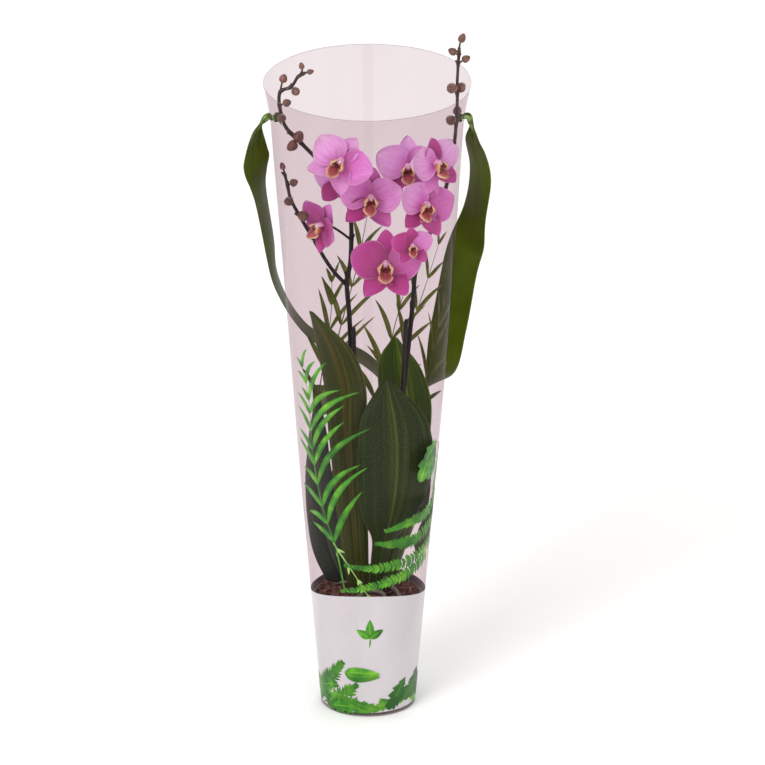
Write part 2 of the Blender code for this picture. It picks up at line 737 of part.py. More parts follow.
def build():
    clear_scene()
    parts = new_collection("potted_orchid")
    cutters = new_collection("cutters")
    nursery_pot(parts, cutters)
    stake_ends = [(place(*foot), place(*top)) for _, foot, top in STAKES]
    growing_medium(parts, cutters, stake_ends)
    carry_sleeve(parts, cutters)
    ribbon_handle(parts)
    black = material("black_plastic", BLACK_PLASTIC, 0.4)
    for (name, _, _), ends in zip(STAKES, stake_ends):
        tube(name, list(ends), [STAKE_R] * 2, black, parts)
    for shape in LEAVES:
        leaf(*shape, parts)
    branch_points = smooth([place(*p) for p in BRANCH_ROUTE], 2 * len(BRANCH_ROUTE) - 1)
    branch = [(branch_points, 0.7 * STEM_R, STEM_TIP_R)]
    left_shoots = branch + shoots_for(LEFT_BLOOMS, LEFT_BUDS + BRANCH_BUDS)
    left_route = [place(*p) for p in LEFT_ROUTE]
    stem_clip(parts, cutters, left_route, stake_ends[0])
    spike("spike_left", left_route, left_shoots, parts, cutters)
    right_shoots = shoots_for(RIGHT_BLOOMS, RIGHT_BUDS)
    spike("spike_right", [place(*p) for p in RIGHT_ROUTE], right_shoots, parts, cutters)
    for number, (centre, turn, size, _) in enumerate(LEFT_BLOOMS + RIGHT_BLOOMS, 1):
        flower(number, place(*centre), turn, size, parts)
    groups = (("bud_left", LEFT_BUDS), ("bud_branch", BRANCH_BUDS), ("bud_right", RIGHT_BUDS))
    for word, buds in groups:
        for i, (centre, length, radius, direction, _) in enumerate(buds, 1):
            bud(f"{word}_{i}", place(*centre), length * MM, radius * MM, Vector(direction), parts)


build()
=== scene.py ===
"""The looks of the potted moth orchid in its clear carry sleeve.

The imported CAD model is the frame. Every node but the pot and the stem's clip gives way here to a finer
piece in the same place. The origin is the bottom centre, +Z is up, the front faces -Y, and sizes are in
metres. Turns about the sleeve are in degrees from the front, positive towards +X.
"""

import math
import random

import bmesh
import bpy
from mathutils import Matrix, Vector, noise


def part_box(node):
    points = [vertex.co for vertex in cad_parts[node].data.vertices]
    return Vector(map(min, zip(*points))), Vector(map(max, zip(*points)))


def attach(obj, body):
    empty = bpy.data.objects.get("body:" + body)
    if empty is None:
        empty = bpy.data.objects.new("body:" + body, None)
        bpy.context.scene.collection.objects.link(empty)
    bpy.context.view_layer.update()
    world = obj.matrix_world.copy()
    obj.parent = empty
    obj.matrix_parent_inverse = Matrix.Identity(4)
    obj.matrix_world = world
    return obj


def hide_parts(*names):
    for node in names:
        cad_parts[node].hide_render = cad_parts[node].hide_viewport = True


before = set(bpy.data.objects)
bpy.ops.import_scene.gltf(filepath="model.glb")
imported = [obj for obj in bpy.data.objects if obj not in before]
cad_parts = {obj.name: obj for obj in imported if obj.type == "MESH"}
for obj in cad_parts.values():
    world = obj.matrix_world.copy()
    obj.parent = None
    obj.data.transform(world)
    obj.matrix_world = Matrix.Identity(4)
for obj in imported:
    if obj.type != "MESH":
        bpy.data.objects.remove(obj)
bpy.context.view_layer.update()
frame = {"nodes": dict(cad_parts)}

MM = 0.001
BODY = "root"

# The sleeve's outline, as the part has it
RIM_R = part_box("carry_sleeve")[1].x
RIM_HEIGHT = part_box("carry_sleeve")[1].z
FLARE = 4 * MM
FLARE_HEIGHT = 42 * MM
TAPER = 0.079
BELLY = 1.8 * MM
NECK_HEIGHT = RIM_HEIGHT - FLARE_HEIGHT
BASE_R = RIM_R - FLARE - TAPER * RIM_HEIGHT
SLOT_HEIGHT = RIM_HEIGHT - 39 * MM
SLOT_HALF = Vector((6.5, 4.5)) * MM

POT_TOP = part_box("nursery_pot")[1].z
POT_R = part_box("nursery_pot")[1].x
BARK_EDGE = POT_TOP - 3 * MM
BARK_CROWN = 9 * MM
POT_TAPER = TAPER * 1.7

# The camera looks down at the front from far away with a long lens
CAMERA_LIFT = 22.5  # degrees
CAMERA_FAR = 24.0
CAMERA_VIEW = 0.801  # width of what it sees at the object's distance
CAMERA_AIM = Vector((0.0151, 0.3302))  # where it looks, right and up of the origin in its own view
SENSOR = 36.0  # mm

INK_PROUD = 0.15 * MM
TEPAL_THICKNESS = 0.5 * MM
LEAF_THICKNESS = 1.5 * MM
FLOWER_R = 40 * MM
LIP_SCALE = 1.2
FILM_CLEAR = 1.5 * MM  # kept between a petal and the film


def srgb(digits):
    """A colour written as a screen shows it, in six hex digits, for a shader's socket."""
    shares = [int(digits[i : i + 2], 16) / 255 for i in (0, 2, 4)]
    return (*[s / 12.92 if s < 0.04045 else ((s + 0.055) / 1.055) ** 2.4 for s in shares], 1.0)


def around(radius, angle, height=0.0):
    """A point at a radius and an angle from +X, in radians."""
    return Vector((radius * math.cos(angle), radius * math.sin(angle), height))


def sleeve_radius(height):
    """The film's outer radius at a height, as the part has it."""
    opened = max(height - NECK_HEIGHT, 0.0) / FLARE_HEIGHT
    belly = BELLY * math.sin(math.pi * min(height / NECK_HEIGHT, 1.0))
    return BASE_R + TAPER * height + belly + FLARE * opened**1.5


def on_film(turn, height, proud=0.0):
    """A point on the film, which is not quite round, at a turn in degrees and a height."""
    angle = math.radians(turn)
    free = min(max(height - POT_TOP, 0.0) / 0.2, 1.0)
    wander = 0.5 * math.sin(3 * angle + 9 * height) + 0.35 * math.sin(5 * angle - 16 * height + 1.0)
    radius = sleeve_radius(height) + free * wander * MM + proud
    return Vector((radius * math.sin(angle), -radius * math.cos(angle), height))


# The plant is drawn in millimetres for a neck of one radius, above bark at one height
DRAWN_NECK = 101
DRAWN_BARK = 115
PLANT_SCALE = sleeve_radius(NECK_HEIGHT) / (DRAWN_NECK * MM)


def place(x, y, z):
    """A point of the plant as it is drawn, put where the part has it."""
    return Vector((x * PLANT_SCALE * MM, y * PLANT_SCALE * MM, BARK_EDGE + (z - DRAWN_BARK) * MM))


def smooth(points, count):
    """Evenly numbered points on a Catmull-Rom curve through the given ones."""
    first, last = points[0] * 2 - points[1], points[-1] * 2 - points[-2]
    padded = [first, *points, last]
    found = []
    for step in range(count):
        along = step * (len(points) - 1) / (count - 1)
        i = min(int(along), len(points) - 2)
        t = along - i
        a, b, c, d = padded[i : i + 4]
        curve = 2 * b + (c - a) * t + (2 * a - 5 * b + 4 * c - d) * t**2 + (3 * b - a - 3 * c + d) * t**3
        found.append(0.5 * curve)
    return found


def eased(values, share):
    """A value part way along a list, with straight runs between its entries."""
    along = share * (len(values) - 1)
    i = min(int(along), len(values) - 2)
    return values[i] + (values[i + 1] - values[i]) * (along - i)


def spread(count, low=0.0, high=1.0):
    """Evenly spaced numbers from low to high."""
    return [low + (high - low) * i / (count - 1) for i in range(count)]


def added(name, data):
    """A new object in the scene for a mesh, a light or a camera."""
    obj = bpy.data.objects.new(name, data)
    bpy.context.scene.collection.objects.link(obj)
    return obj


class Shape:
    """Points and faces gathered into one piece. Each point has its place on the pattern and a tone."""

    def __init__(self):
        self.points, self.faces, self.pattern, self.tones = [], [], [], []

    def rows(self, rows, shares, tone=0.0, closed=False, capped=False, across=None):
        """Adds a sheet through rows of points; closed joins each row's ends, and capped fills both ends.

        shares says how far along the pattern each row is, and across how far over it each point of a row is.
        """
        first, width = len(self.points), len(rows[0])
        across = across or [k / (width if closed else width - 1) for k in range(width)]
        for row, share in zip(rows, shares):
            self.points += row
            self.pattern += [(share, over) for over in across]
            self.tones += [tone] * width
        for i in range(len(rows) - 1):
            for j in range(width - (0 if closed else 1)):
                a, b = first + i * width + j, first + i * width + (j + 1) % width
                self.faces.append((a, b, b + width, a + width))
        if capped:
            last = first + (len(rows) - 1) * width
            self.faces.append(tuple(range(first + width - 1, first - 1, -1)))
            self.faces.append(tuple(range(last, last + width)))

    def blade(self, rows, thickness, tone=0.0):
        """Adds a closed thin body on both sides of rows of points, thinned towards its edges."""
        count, width = len(rows), len(rows[0])
        shares, across = spread(count), spread(width, -1.0, 1.0)
        rings = []
        for i, row in enumerate(rows):
            over, under = [], []
            for j, point in enumerate(row):
                ahead = rows[min(i + 1, count - 1)][j] - rows[max(i - 1, 0)][j]
                aside = row[min(j + 1, width - 1)] - row[max(j - 1, 0)]
                deep = thickness / 2 * (1 - 0.75 * abs(across[j]) ** 5) * (1 - 0.6 * shares[i] ** 8)
                lift = ahead.cross(aside).normalized() * deep
                over.append(point + lift)
                under.append(point - lift)
            rings.append(over + under[::-1])
        halves = [(w + 1) / 2 for w in across]
        self.rows(rings, shares, tone, closed=True, capped=True, across=halves + halves[::-1])

    def tube(self, points, radii, sides=10, tone=0.0):
        """Adds a round rod through points, with a radius at each one and domed ends."""
        points, radii = list(points), list(radii)
        start, end = (points[1] - points[0]).normalized(), (points[-1] - points[-2]).normalized()
        for share in (0.6, 0.9):
            points.insert(0, points[0] - start * radii[0] * 0.45)
            radii.insert(0, radii[0] * (1.3 - share))
            points.append(points[-1] + end * radii[-1] * 0.45)
            radii.append(radii[-1] * (1.3 - share))
        side = start.orthogonal().normalized()
        turns = [2 * math.pi * k / sides for k in range(sides)]
        rings = []
        for i, (point, radius) in enumerate(zip(points, radii)):
            ahead = (points[min(i + 1, len(points) - 1)] - points[max(i - 1, 0)]).normalized()
            side = (side - ahead * side.dot(ahead)).normalized()
            up = ahead.cross(side)
            rings.append([point + (side * math.cos(t) + up * math.sin(t)) * radius for t in turns])
        shares = [i / len(points) for i in range(len(points))]
        self.rows(rings, shares, tone, closed=True, capped=True)

    def piece(self, name, finish, slot, *nodes, levels=0, flat=False):
        """Makes the gathered shape a piece that rides on the body and stands for the given CAD nodes."""
        mesh = bpy.data.meshes.new(name)
        mesh.from_pydata([tuple(p) for p in self.points], [], self.faces)
        places = mesh.uv_layers.new(name="pattern")
        for loop in mesh.loops:
            places.data[loop.index].uv = self.pattern[loop.vertex_index]
        tones = mesh.attributes.new("tone", "FLOAT", "POINT")
        tones.data.foreach_set("value", self.tones)
        mesh.materials.append(finish)
        if not flat:
            mesh.shade_smooth()
        mesh.validate()
        bm = bmesh.new()
        bm.from_mesh(mesh)
        bmesh.ops.recalc_face_normals(bm, faces=bm.faces)
        bm.to_mesh(mesh)
        bm.free()
        obj = added(name, mesh)
        if levels:
            subdivision = obj.modifiers.new("Smooth", "SUBSURF")
            subdivision.levels = levels
            subdivision.render_levels = levels
        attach(obj, BODY)
        if nodes:
            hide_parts(*nodes)
        return obj


class Finish:
    """A procedural material on the standard shader, built up node by node."""

    def __init__(self, name, roughness, **sockets):
        self.material = bpy.data.materials.new(name)
        self.material.use_nodes = True
        self.tree = self.material.node_tree
        self.shader = self.tree.nodes["Principled BSDF"]
        self.shader.inputs["Roughness"].default_value = roughness
        for word, value in sockets.items():
            self.put(self.shader.inputs[word.replace("_", " ")], value)

    def put(self, socket, value):
        """Links a socket to another one, or sets it to a value or to hex digits."""
        if isinstance(value, bpy.types.NodeSocket):
            self.tree.links.new(value, socket)
        else:
            socket.default_value = srgb(value) if isinstance(value, str) else value

    def node(self, kind, inputs=(), **settings):
        made = self.tree.nodes.new("ShaderNode" + kind)
        for word, value in settings.items():
            setattr(made, word, value)
        for socket, value in dict(inputs).items():
            self.put(made.inputs[socket], value)
        return made

    def place(self):
        """Where a point is on the object."""
        return self.node("TexCoord").outputs["Object"]

    def along(self):
        """How far a point is along its leaf or petal, from 0 to 1."""
        return self.split().outputs["X"]

    def from_edge(self):
        """0 at the middle line of a leaf or petal, and 1 at its edges."""
        return self.calc("ABSOLUTE", self.calc("MULTIPLY_ADD", self.split().outputs["Y"], 2.0, -1.0))

    def times(self, a, b):
        return self.calc("MULTIPLY", a, b)

    def split(self):
        return self.node("SeparateXYZ", {"Vector": self.uv()})

    def uv(self):
        return self.node("UVMap", uv_map="pattern").outputs["UV"]

    def tone(self):
        """The tone that a shape gave its points, from 0 to 1."""
        return self.node("Attribute", attribute_name="tone").outputs["Fac"]

    def calc(self, operation, a, b=0.0, c=0.0):
        """The result of a sum on values or sockets."""
        made = self.node("Math", {0: a, 1: b}, operation=operation)
        if operation == "MULTIPLY_ADD":
            self.put(made.inputs[2], c)
        return made.outputs["Value"]

    def noise(self, scale, stretch=(1, 1, 1), detail=3.0, where=None):
        """Noise over the object, or over the place given."""
        mapping = self.node("Mapping", {"Vector": where or self.place(), "Scale": stretch})
        inputs = {"Vector": mapping.outputs["Vector"], "Scale": scale, "Detail": detail}
        return self.node("TexNoise", inputs).outputs["Fac"]

    def ramp(self, value, *stops):
        """The colour, or the grey level, of each stop of (value, colour), and what lies between them."""
        made = self.node("ValToRGB", {"Fac": value})
        entries = made.color_ramp.elements
        while len(entries) < len(stops):
            entries.new(0.5)
        for entry, (where, colour) in zip(entries, stops):
            entry.position = where
            if isinstance(colour, str):
                colour = srgb(colour)
            entry.color = colour if isinstance(colour, tuple) else (colour, colour, colour, 1.0)
        return made.outputs["Color"]

    def mix(self, share, a, b):
        """From colour a, at a share of 0, to colour b."""
        made = self.node("Mix", data_type="RGBA")
        self.put(made.inputs[0], share)
        self.put(made.inputs[6], a)
        self.put(made.inputs[7], b)
        return made.outputs[2]

    def paint(self, colour, share=None):
        """Lays a colour over the whole of what was painted so far, or over a share of it."""
        self.painted = colour if share is None else self.mix(share, self.painted, colour)
        self.put(self.shader.inputs["Base Color"], self.painted)

    def bump(self, height, distance, strength=1.0):
        inputs = {"Height": height, "Distance": distance, "Strength": strength}
        self.put(self.shader.inputs["Normal"], self.node("Bump", inputs).outputs["Normal"])


# ---- Materials


def grained(name, roughness, grain, stops, bump, rough=None, **sockets):
    """A finish coloured by one grain, with a bump (mm) from the same grain or a rougher one."""
    f = Finish(name, roughness, **sockets)
    pattern = f.noise(*grain)
    f.paint(f.ramp(pattern, *stops))
    f.bump(f.noise(*rough) if rough else pattern, bump * MM)
    return f


def tepal_finish():
    """Pink petals: deeper towards the heart, partly their own colour and partly painted shade, and between
    the veins, with a pale rim.
    """
    f = Finish("tepal", 0.42, Subsurface_Weight=0.12, Subsurface_Scale=0.004,
               Subsurface_Radius=(1.0, 0.35, 0.8), Sheen_Weight=0.12)
    veins = f.noise(1.0, (2.2, 42, 1), 4.0, f.uv())
    # Deeper towards the heart: partly the petals' own colour, partly painted shade
    blush = f.ramp(f.along(), (0.04, "be3c98"), (0.3, "e47cd8"), (0.7, "f3a4f0"), (1.0, "fac2f8"))
    deep = f.ramp(f.along(), (0.04, "861658"), (0.5, "ba328e"), (0.95, "dc66c0"))
    f.paint(f.ramp(f.along(), (0.04, "d064c0"), (0.3, "f4b4f6"), (1.0, "fee4ff")))
    # A higher tone paints a tepal deeper. It gives the sepals their own colour, and it adds painted shade on
    # the lower blooms and the lower sepals
    f.paint(blush, f.ramp(f.tone(), (0.0, 0.0), (0.4, 1.0)))
    f.paint(deep, f.ramp(f.tone(), (0.4, 0.0), (1.0, 1.0)))
    f.paint(f.mix(f.tone(), "f0b8ec", "be4292"), f.ramp(f.noise(48.0, detail=2.0), (0.38, 0.0), (0.66, 0.5)))
    f.paint("9e2476", f.times(f.ramp(veins, (0.4, 1.0), (0.56, 0.0)), 0.3))
    f.paint("f4ceec", f.ramp(f.calc("MAXIMUM", f.from_edge(), f.along()), (0.9, 0.0), (1.0, 0.3)))
    f.bump(veins, 0.5 * MM, 0.6)
    return f.material


def lip_finish():
    """The lip: dusty red at its heart, tan outwards, with a broad cream rim."""
    f = Finish("lip", 0.38, Subsurface_Weight=0.1, Subsurface_Scale=0.002, Coat_Weight=0.15)
    f.paint(f.ramp(f.along(), (0.0, "92383e"), (0.35, "ba644a"), (0.7, "dca468"), (1.0, "f2d4a4")))
    f.paint("a8425c", f.tone())
    f.paint("822c2a", f.times(f.ramp(f.noise(900.0, detail=2.0), (0.5, 0.0), (0.6, 0.85)), 0.4))
    f.paint("f8daa6", f.ramp(f.from_edge(), (0.6, 0.0), (0.95, 0.95)))
    f.bump(f.noise(1.0, (3, 22, 1), where=f.uv()), 0.3 * MM)
    return f.material


def column_finish():
    """The waxy column over the lip, yellow at its cap."""
    f = grained("column", 0.35, (420.0,), ((0.35, "f4d6ec"), (0.7, "d682be")), 0.1, (1500.0,),
                Subsurface_Weight=0.2, Subsurface_Scale=0.002, Coat_Weight=0.2)
    f.paint("f6de96", f.tone())
    return f.material


def bud_finish():
    """Closed buds: red brown, with a bloom of dust and greener tips."""
    f = grained("bud", 0.46, (260.0, (1, 1, 0.4), 5.0),
                ((0.3, "3e201a"), (0.5, "64382e"), (0.72, "8a5848")), 0.5,
                Sheen_Weight=0.2, Coat_Weight=0.1)
    f.paint("46341e", f.ramp(f.along(), (0.0, 0.0), (0.75, 0.15), (1.0, 0.8)))
    return f.material


def stem_finish():
    """Flower spikes: streaked brown, painted near black with shade inside the sleeve, so that they show their
    brown only towards the tips.
    """
    f = grained("stem", 0.5, (420.0, (1, 1, 0.15), 4.0),
                ((0.3, "221814"), (0.55, "3e2c24"), (0.75, "685442")), 0.4,
                Coat_Weight=0.05, Specular_IOR_Level=0.3)
    # Painted shade: near black up to about three quarters of the rim's height, fading out just under the rim
    high = f.node("SeparateXYZ", {"Vector": f.place()}).outputs["Z"]
    f.paint("0e0c08", f.ramp(f.times(high, 1 / RIM_HEIGHT), (0.72, 0.95), (0.98, 0.0)))
    return f.material


def leaf_finish(name, dark, mid, light, rib):
    """Strap leaves: long parallel stripes each side of a midrib, and a thin paler edge."""
    f = Finish(name, 0.38, Coat_Weight=0.04, Coat_Roughness=0.25, Specular_IOR_Level=0.24)
    stripes = f.noise(1.0, (0.9, 13, 1), 3.0, f.uv())
    f.paint(f.ramp(stripes, (0.32, dark), (0.5, mid), (0.7, light)))
    f.paint(mid, f.ramp(f.noise(22.0), (0.35, 0.0), (0.7, 0.55)))
    f.paint(rib, f.ramp(f.from_edge(), (0.0, 0.85), (0.07, 0.0)))
    f.paint(light, f.ramp(f.from_edge(), (0.93, 0.0), (1.0, 0.6)))
    f.bump(stripes, 0.35 * MM, 0.7)
    return f.material


def bark_finish():
    """Pine bark: layered pinkish brown chips, each its own shade."""
    f = Finish("bark", 0.85)
    grain = f.noise(160.0, (1, 1, 3), 6.0)
    f.paint(f.ramp(grain, (0.3, "3a221a"), (0.5, "7a4e3e"), (0.72, "b08470")))
    f.paint(f.ramp(grain, (0.3, "261a14"), (0.6, "5c3c2e"), (0.8, "8c6854")), f.tone())
    f.bump(grain, 1.2 * MM)
    return f.material


def film_finish(name, gloss, grazing, tint):
    """Clear film: it tints what is behind it, with a gloss that grows where it is seen along its surface."""
    f = grained(name, 0.09, (30.0,), ((0.3, "84767c"), (0.8, "a09298")), 0.12, (60.0, (1, 1, 0.3)),
                IOR=1.5, Coat_Weight=0.8, Coat_Roughness=0.04)
    streaks = f.noise(26.0, (1, 1, 0.12), 4.0)
    edge = f.node("LayerWeight", {"Blend": 0.28}).outputs["Facing"]
    seen = f.node("MapRange", {"Value": edge, "From Min": 0.3, "To Min": gloss, "To Max": grazing})
    share = f.times(seen.outputs["Result"], f.ramp(streaks, (0.35, 0.6), (0.7, 1.4)))
    weak = tuple(min(c * 1.06, 1.0) for c in tint)
    clear = f.node("BsdfTransparent", {"Color": f.ramp(streaks, (0.3, tint), (0.75, weak))})
    both = f.node("MixShader", {0: share, 1: clear.outputs["BSDF"], 2: f.shader.outputs["BSDF"]})
    f.put(f.tree.nodes["Material Output"].inputs["Surface"], both.outputs["Shader"])
    return f.material


def ink_finish(name, dark, mid, light):
    """Printed foliage: flat ink with a lighter line down each leaf and one darker half."""
    f = Finish(name, 0.4, Coat_Weight=0.12, Coat_Roughness=0.12, Specular_IOR_Level=0.3)
    patches = f.noise(60.0, detail=5.0)
    f.paint(f.ramp(patches, (0.3, dark), (0.46, mid), (0.72, light)))
    f.paint(dark, f.times(f.ramp(f.split().outputs["Y"], (0.44, 0.0), (0.54, 1.0)), 0.3))
    f.paint(light, f.ramp(f.from_edge(), (0.0, 0.7), (0.16, 0.0)))
    f.paint(dark, f.times(f.tone(), 0.6))
    f.bump(patches, 0.05 * MM)
    return f.material


def satin_finish():
    """Olive green satin ribbon: fine warp lines, a painted highlight on the folds near its ends, and tight
    woven edges.
    """
    f = Finish("green_satin", 0.4, Anisotropic=0.6, Specular_IOR_Level=0.2, Specular_Tint="bed05a",
               Sheen_Weight=0.04, Sheen_Roughness=0.3, Sheen_Tint="bed296")
    warp = f.noise(1.0, (3, 240, 1), 2.0, f.uv())
    weft = f.noise(1.0, (900, 6, 1), 1.0, f.uv())
    f.paint(f.ramp(warp, (0.35, "283002"), (0.6, "404c08")))
    f.paint("505e14", f.ramp(f.noise(26.0), (0.35, 0.0), (0.7, 0.5)))
    # Painted highlight: pale green laid over the folds near each end of the ribbon, standing in for the
    # satin's shine
    highlight_at_ends = f.ramp(f.along(), (0.03, 1.0), (0.17, 0.0), (0.84, 0.0), (0.97, 1.0))
    highlight_folds = f.ramp(f.noise(1.0, (34, 5, 1), 2.0, f.uv()), (0.46, 0.0), (0.62, 1.0))
    f.paint("b2d28c", f.times(highlight_at_ends, highlight_folds))
    f.paint("566222", f.ramp(f.from_edge(), (0.93, 0.0), (0.96, 0.6)))
    f.bump(f.calc("ADD", warp, weft), 0.12 * MM)
    return f.material


TEPAL = tepal_finish()
LIP = lip_finish()
COLUMN = column_finish()
BUD = bud_finish()
STEM = stem_finish()
SATIN = satin_finish()
FILM = film_finish("clear_film", 0.02, 0.26, (0.79, 0.72, 0.745, 1.0))
FILM_LAP = film_finish("film_lap", 0.02, 0.12, (0.97, 0.955, 0.96, 1.0))
FILM_EDGE = film_finish("film_edge", 0.35, 0.5, (0.96, 0.93, 0.94, 1.0))
PRINT_GREEN = ink_finish("print_green", "104a06", "32800e", "7aba2c")
PRINT_OLIVE = ink_finish("print_olive", "547416", "7c9a2e", "acc262")
PRINT_PALE = ink_finish("print_pale", "6a9842", "92ba60", "bad496")
ROOT = grained("root", 0.7, (300.0, (1, 1, 1), 5.0), ((0.35, "5c6846"), (0.6, "969680")), 0.6).material
POT = grained("pot_plastic", 0.3, (40.0, (1, 1, 4), 4.0), ((0.3, "706862"), (0.7, "968e88")), 0.15,
              (500.0, (1, 1, 0.1)), Coat_Weight=0.2).material
BLACK = grained("black_plastic", 0.45, (350.0, (1, 1, 0.2), 5.0),
                ((0.35, "141612"), (0.65, "282822"), (0.8, "4a483e")), 0.2,
                Coat_Weight=0.04, Specular_IOR_Level=0.3).material
BAND = grained("white_ink", 0.3, (18.0, (1, 1, 0.5), 5.0), ((0.3, "b4adb1"), (0.7, "c2bcc0")), 0.03,
               (700.0,), Coat_Weight=0.4, Coat_Roughness=0.1).material


# ---- Petals and blooms


def inside_film(point):
    """A point, or the nearest one to it that is clear of the film."""
    room = sleeve_radius(max(point.z, 0.0)) - FILM_CLEAR
    far = point.xy.length
    if point.z > RIM_HEIGHT or far < room:
        return point
    return Vector((point.x * room / far, point.y * room / far, point.z))


def petal(shape, pose, length, half, thickness, bend, camber, tone=0.0, full=0.55, widest=0.85,
          claw=0.14, wave=0.0, phase=0.0, steps=(14, 11)):
    """Adds a petal that grows along +Z from the pose's origin, faces -Y and curls forward by bend radians.

    full and widest shape its outline, and claw is the width of its stalk in half widths.
    """
    rows = []
    for t in spread(steps[0], 0.0, 0.998):
        u = 1 - (1 - t) ** 1.7
        turn = bend * u
        along = length * math.sin(turn) / bend
        ahead = length * (1 - math.cos(turn)) / bend
        width = half * max(math.sin(math.pi * u**widest) ** full, claw * (1 - u))
        row = []
        for v in spread(steps[1], -1.0, 1.0):
            rise = camber * half * v * v + wave * v * v * math.sin(7 * u + phase + 2 * v)
            back = 0.09 * length * (v * width / half) ** 2 * u
            at = Vector((width * v, -ahead - rise * math.cos(turn), along - rise * math.sin(turn) - back))
            row.append(inside_film(pose @ at))
        rows.append(row)
    shape.blade(rows, thickness, tone)


def facing(yaw, pitch, roll):
    """Turns a bloom that faces -Y: yaw towards +X, pitch up, and roll clockwise as seen from its front."""
    return about("Z", yaw) @ about("X", -pitch) @ about("Y", roll)


def about(axis, degrees):
    """A turn about an axis."""
    return Matrix.Rotation(math.radians(degrees), 4, axis)


def shifted(*offset):
    """A move by x, y and z."""
    return Matrix.Translation(offset)


def grown_at(point, ahead):
    """A pose at a point, with +Z along a direction."""
    return Matrix.Translation(point) @ ahead.to_track_quat("Z", "Y").to_matrix().to_4x4()


# Each tepal: its turn clockwise from the top, its length and half width in flower radii, how far it stands
# ahead of the sepals (mm) and its tone. The sepals' tones give their deeper colour. On the two lower sepals,
# which sit behind the broad petals, the tone is partly painted shade.
TEPALS = (
    (0, 0.97, 0.33, 0.0, 0.45),
    (141, 0.95, 0.31, -0.2, 0.85),
    (-141, 0.95, 0.31, -0.2, 0.85),
    (67, 1.0, 0.53, 1.4, 0.0),
    (-67, 1.0, 0.53, 1.7, 0.0),
)


# Painted shade: the lower blooms are painted deeper in colour and the higher ones paler; the tone rises by 1
# over the span, downwards
SHADE_NEUTRAL_HEIGHT = 590
SHADE_SPAN = 160


def bloom(number, centre, turn, size):
    """One moth orchid bloom: three sepals, two broad petals, and the lip and column at its heart."""
    chance = random.Random(number)
    # Painted shade: the lower a bloom sits, the deeper its tepals are painted
    painted_shade = (SHADE_NEUTRAL_HEIGHT - centre[2]) / SHADE_SPAN
    pose = Matrix.Translation(place(*centre)) @ facing(*turn)
    tepals = Shape()
    for angle, length, half, ahead, tone in TEPALS:
        broad = half > 0.4
        grown = pose @ shifted(0, -ahead * size * MM, 0) @ about("Y", angle + chance.uniform(-4, 4))
        petal(
            tepals, grown, length * FLOWER_R * size, half * FLOWER_R * size, TEPAL_THICKNESS,
            bend=0.3 + chance.uniform(-0.25, 0.4), camber=chance.uniform(-0.12, 0.28),
            tone=min(max(tone + painted_shade + chance.uniform(-0.5, 0.7), 0.0), 1.0),
            full=0.52 if broad else 0.62, widest=0.95 if broad else 0.85,
            wave=1.3 * MM * size, phase=chance.uniform(0, 6),
        )
    tepals.piece(f"flower_{number}_petals", TEPAL, "tepal", f"flower_{number}_tepals", levels=1)
    lip_and_column(number, pose, size)


def lip_and_column(number, pose, size):
    """The lip's two raised side lobes, its anchor shaped middle lobe and callus, and the column over it."""
    unit = LIP_SCALE * size * MM
    heart = pose @ shifted(0, -1.6 * unit, -1.0 * unit)
    lip = Shape()
    for side in (-1, 1):
        grown = heart @ about("Y", 74 * side) @ about("Z", 10 * side) @ about("X", 30)
        petal(lip, grown, 16.5 * unit, 6.4 * unit, 0.5 * unit, bend=1.25, camber=0.45, tone=0.1, widest=1.15,
              steps=(12, 9))
    middle = heart @ about("X", 112)
    petal(lip, middle, 9 * unit, 3.4 * unit, 0.7 * unit, bend=0.5, camber=0.7, tone=0.9, claw=0.5,
          steps=(9, 9))
    tongue = heart @ shifted(0, -7.6 * unit, -3.2 * unit) @ about("X", 148)
    petal(lip, tongue, 13 * unit, 6.8 * unit, 0.6 * unit, bend=-0.7, camber=0.45, tone=0.6, full=0.8,
          widest=0.6, claw=0.3, steps=(12, 9))
    for side in (-1, 1):
        tip = tongue @ (Vector((0, 2.2, 11)) * unit)
        curl = [tip + tongue.to_3x3() @ (Vector((side * 6 * t, -6 * t * t, 5.4 * t - 6 * t * t)) * unit)
                for t in spread(8)]
        lip.tube(curl, [0.5 * unit * (1 - 0.6 * t) for t in spread(8)], 6)
        callus = heart @ (Vector((side * 1.3, -6.0, 0.0)) * unit)
        top = heart @ (Vector((side * 1.7, -8.2, 2.0)) * unit)
        lip.tube([callus, callus.lerp(top, 0.5), top], [1.2 * unit, 1.4 * unit, 0.8 * unit], 8)
    lip.piece(f"flower_{number}_lip_lobes", LIP, "lip", f"flower_{number}_lip", levels=1)
    column = Shape()
    route = [pose @ (Vector((0, -11 * t, 4.4 * math.sin(1.9 * t) - 2.4 * t * t)) * unit) for t in spread(9)]
    column.tube(route, [unit * (2.2 + 0.7 * math.sin(math.pi * t) + 0.6 * t) for t in spread(9)], 14)
    cap = [route[-1] + (route[-1] - route[-2]) * 0.8 * t for t in spread(4)]
    column.tube(cap, [2.0 * unit, 2.2 * unit, 1.9 * unit, 1.1 * unit], 12, tone=1.0)
    column.piece(f"flower_{number}_column", COLUMN, "tepal", levels=1)


# Each bloom: middle (mm), its yaw, pitch and roll, its size, and where its pedicel leaves the spike (mm)
LEFT_BLOOMS = (
    ((-29, -38, 620), (-8, 14, 34), 0.93, (-50, -6, 607)),
    ((-31, 8, 579), (165, 0, 0), 0.85, (-31, -8, 584)),
    ((2, -20, 571), (6, 16, 8), 0.92, (-18.5, -6, 550)),
    ((-46, -24, 544), (-50, 0, 30), 0.8, (-18, -5, 520)),
)
RIGHT_BLOOMS = (
    ((70, -33, 615), (34, 16, -10), 0.84, (86, -7, 604)),
    ((58, -38, 570), (24, 18, 20), 0.9, (72, -5, 547)),
    ((42, 12, 592), (0, 20, 0), 0.92, (66, -5, 533)),
    ((46, -58, 534), (8, 12, 0), 0.58, (56, -5, 504)),
    ((19, -37, 502), (-2, 24, 0), 1.02, (50, -4, 486)),
)


# ---- Stems and buds

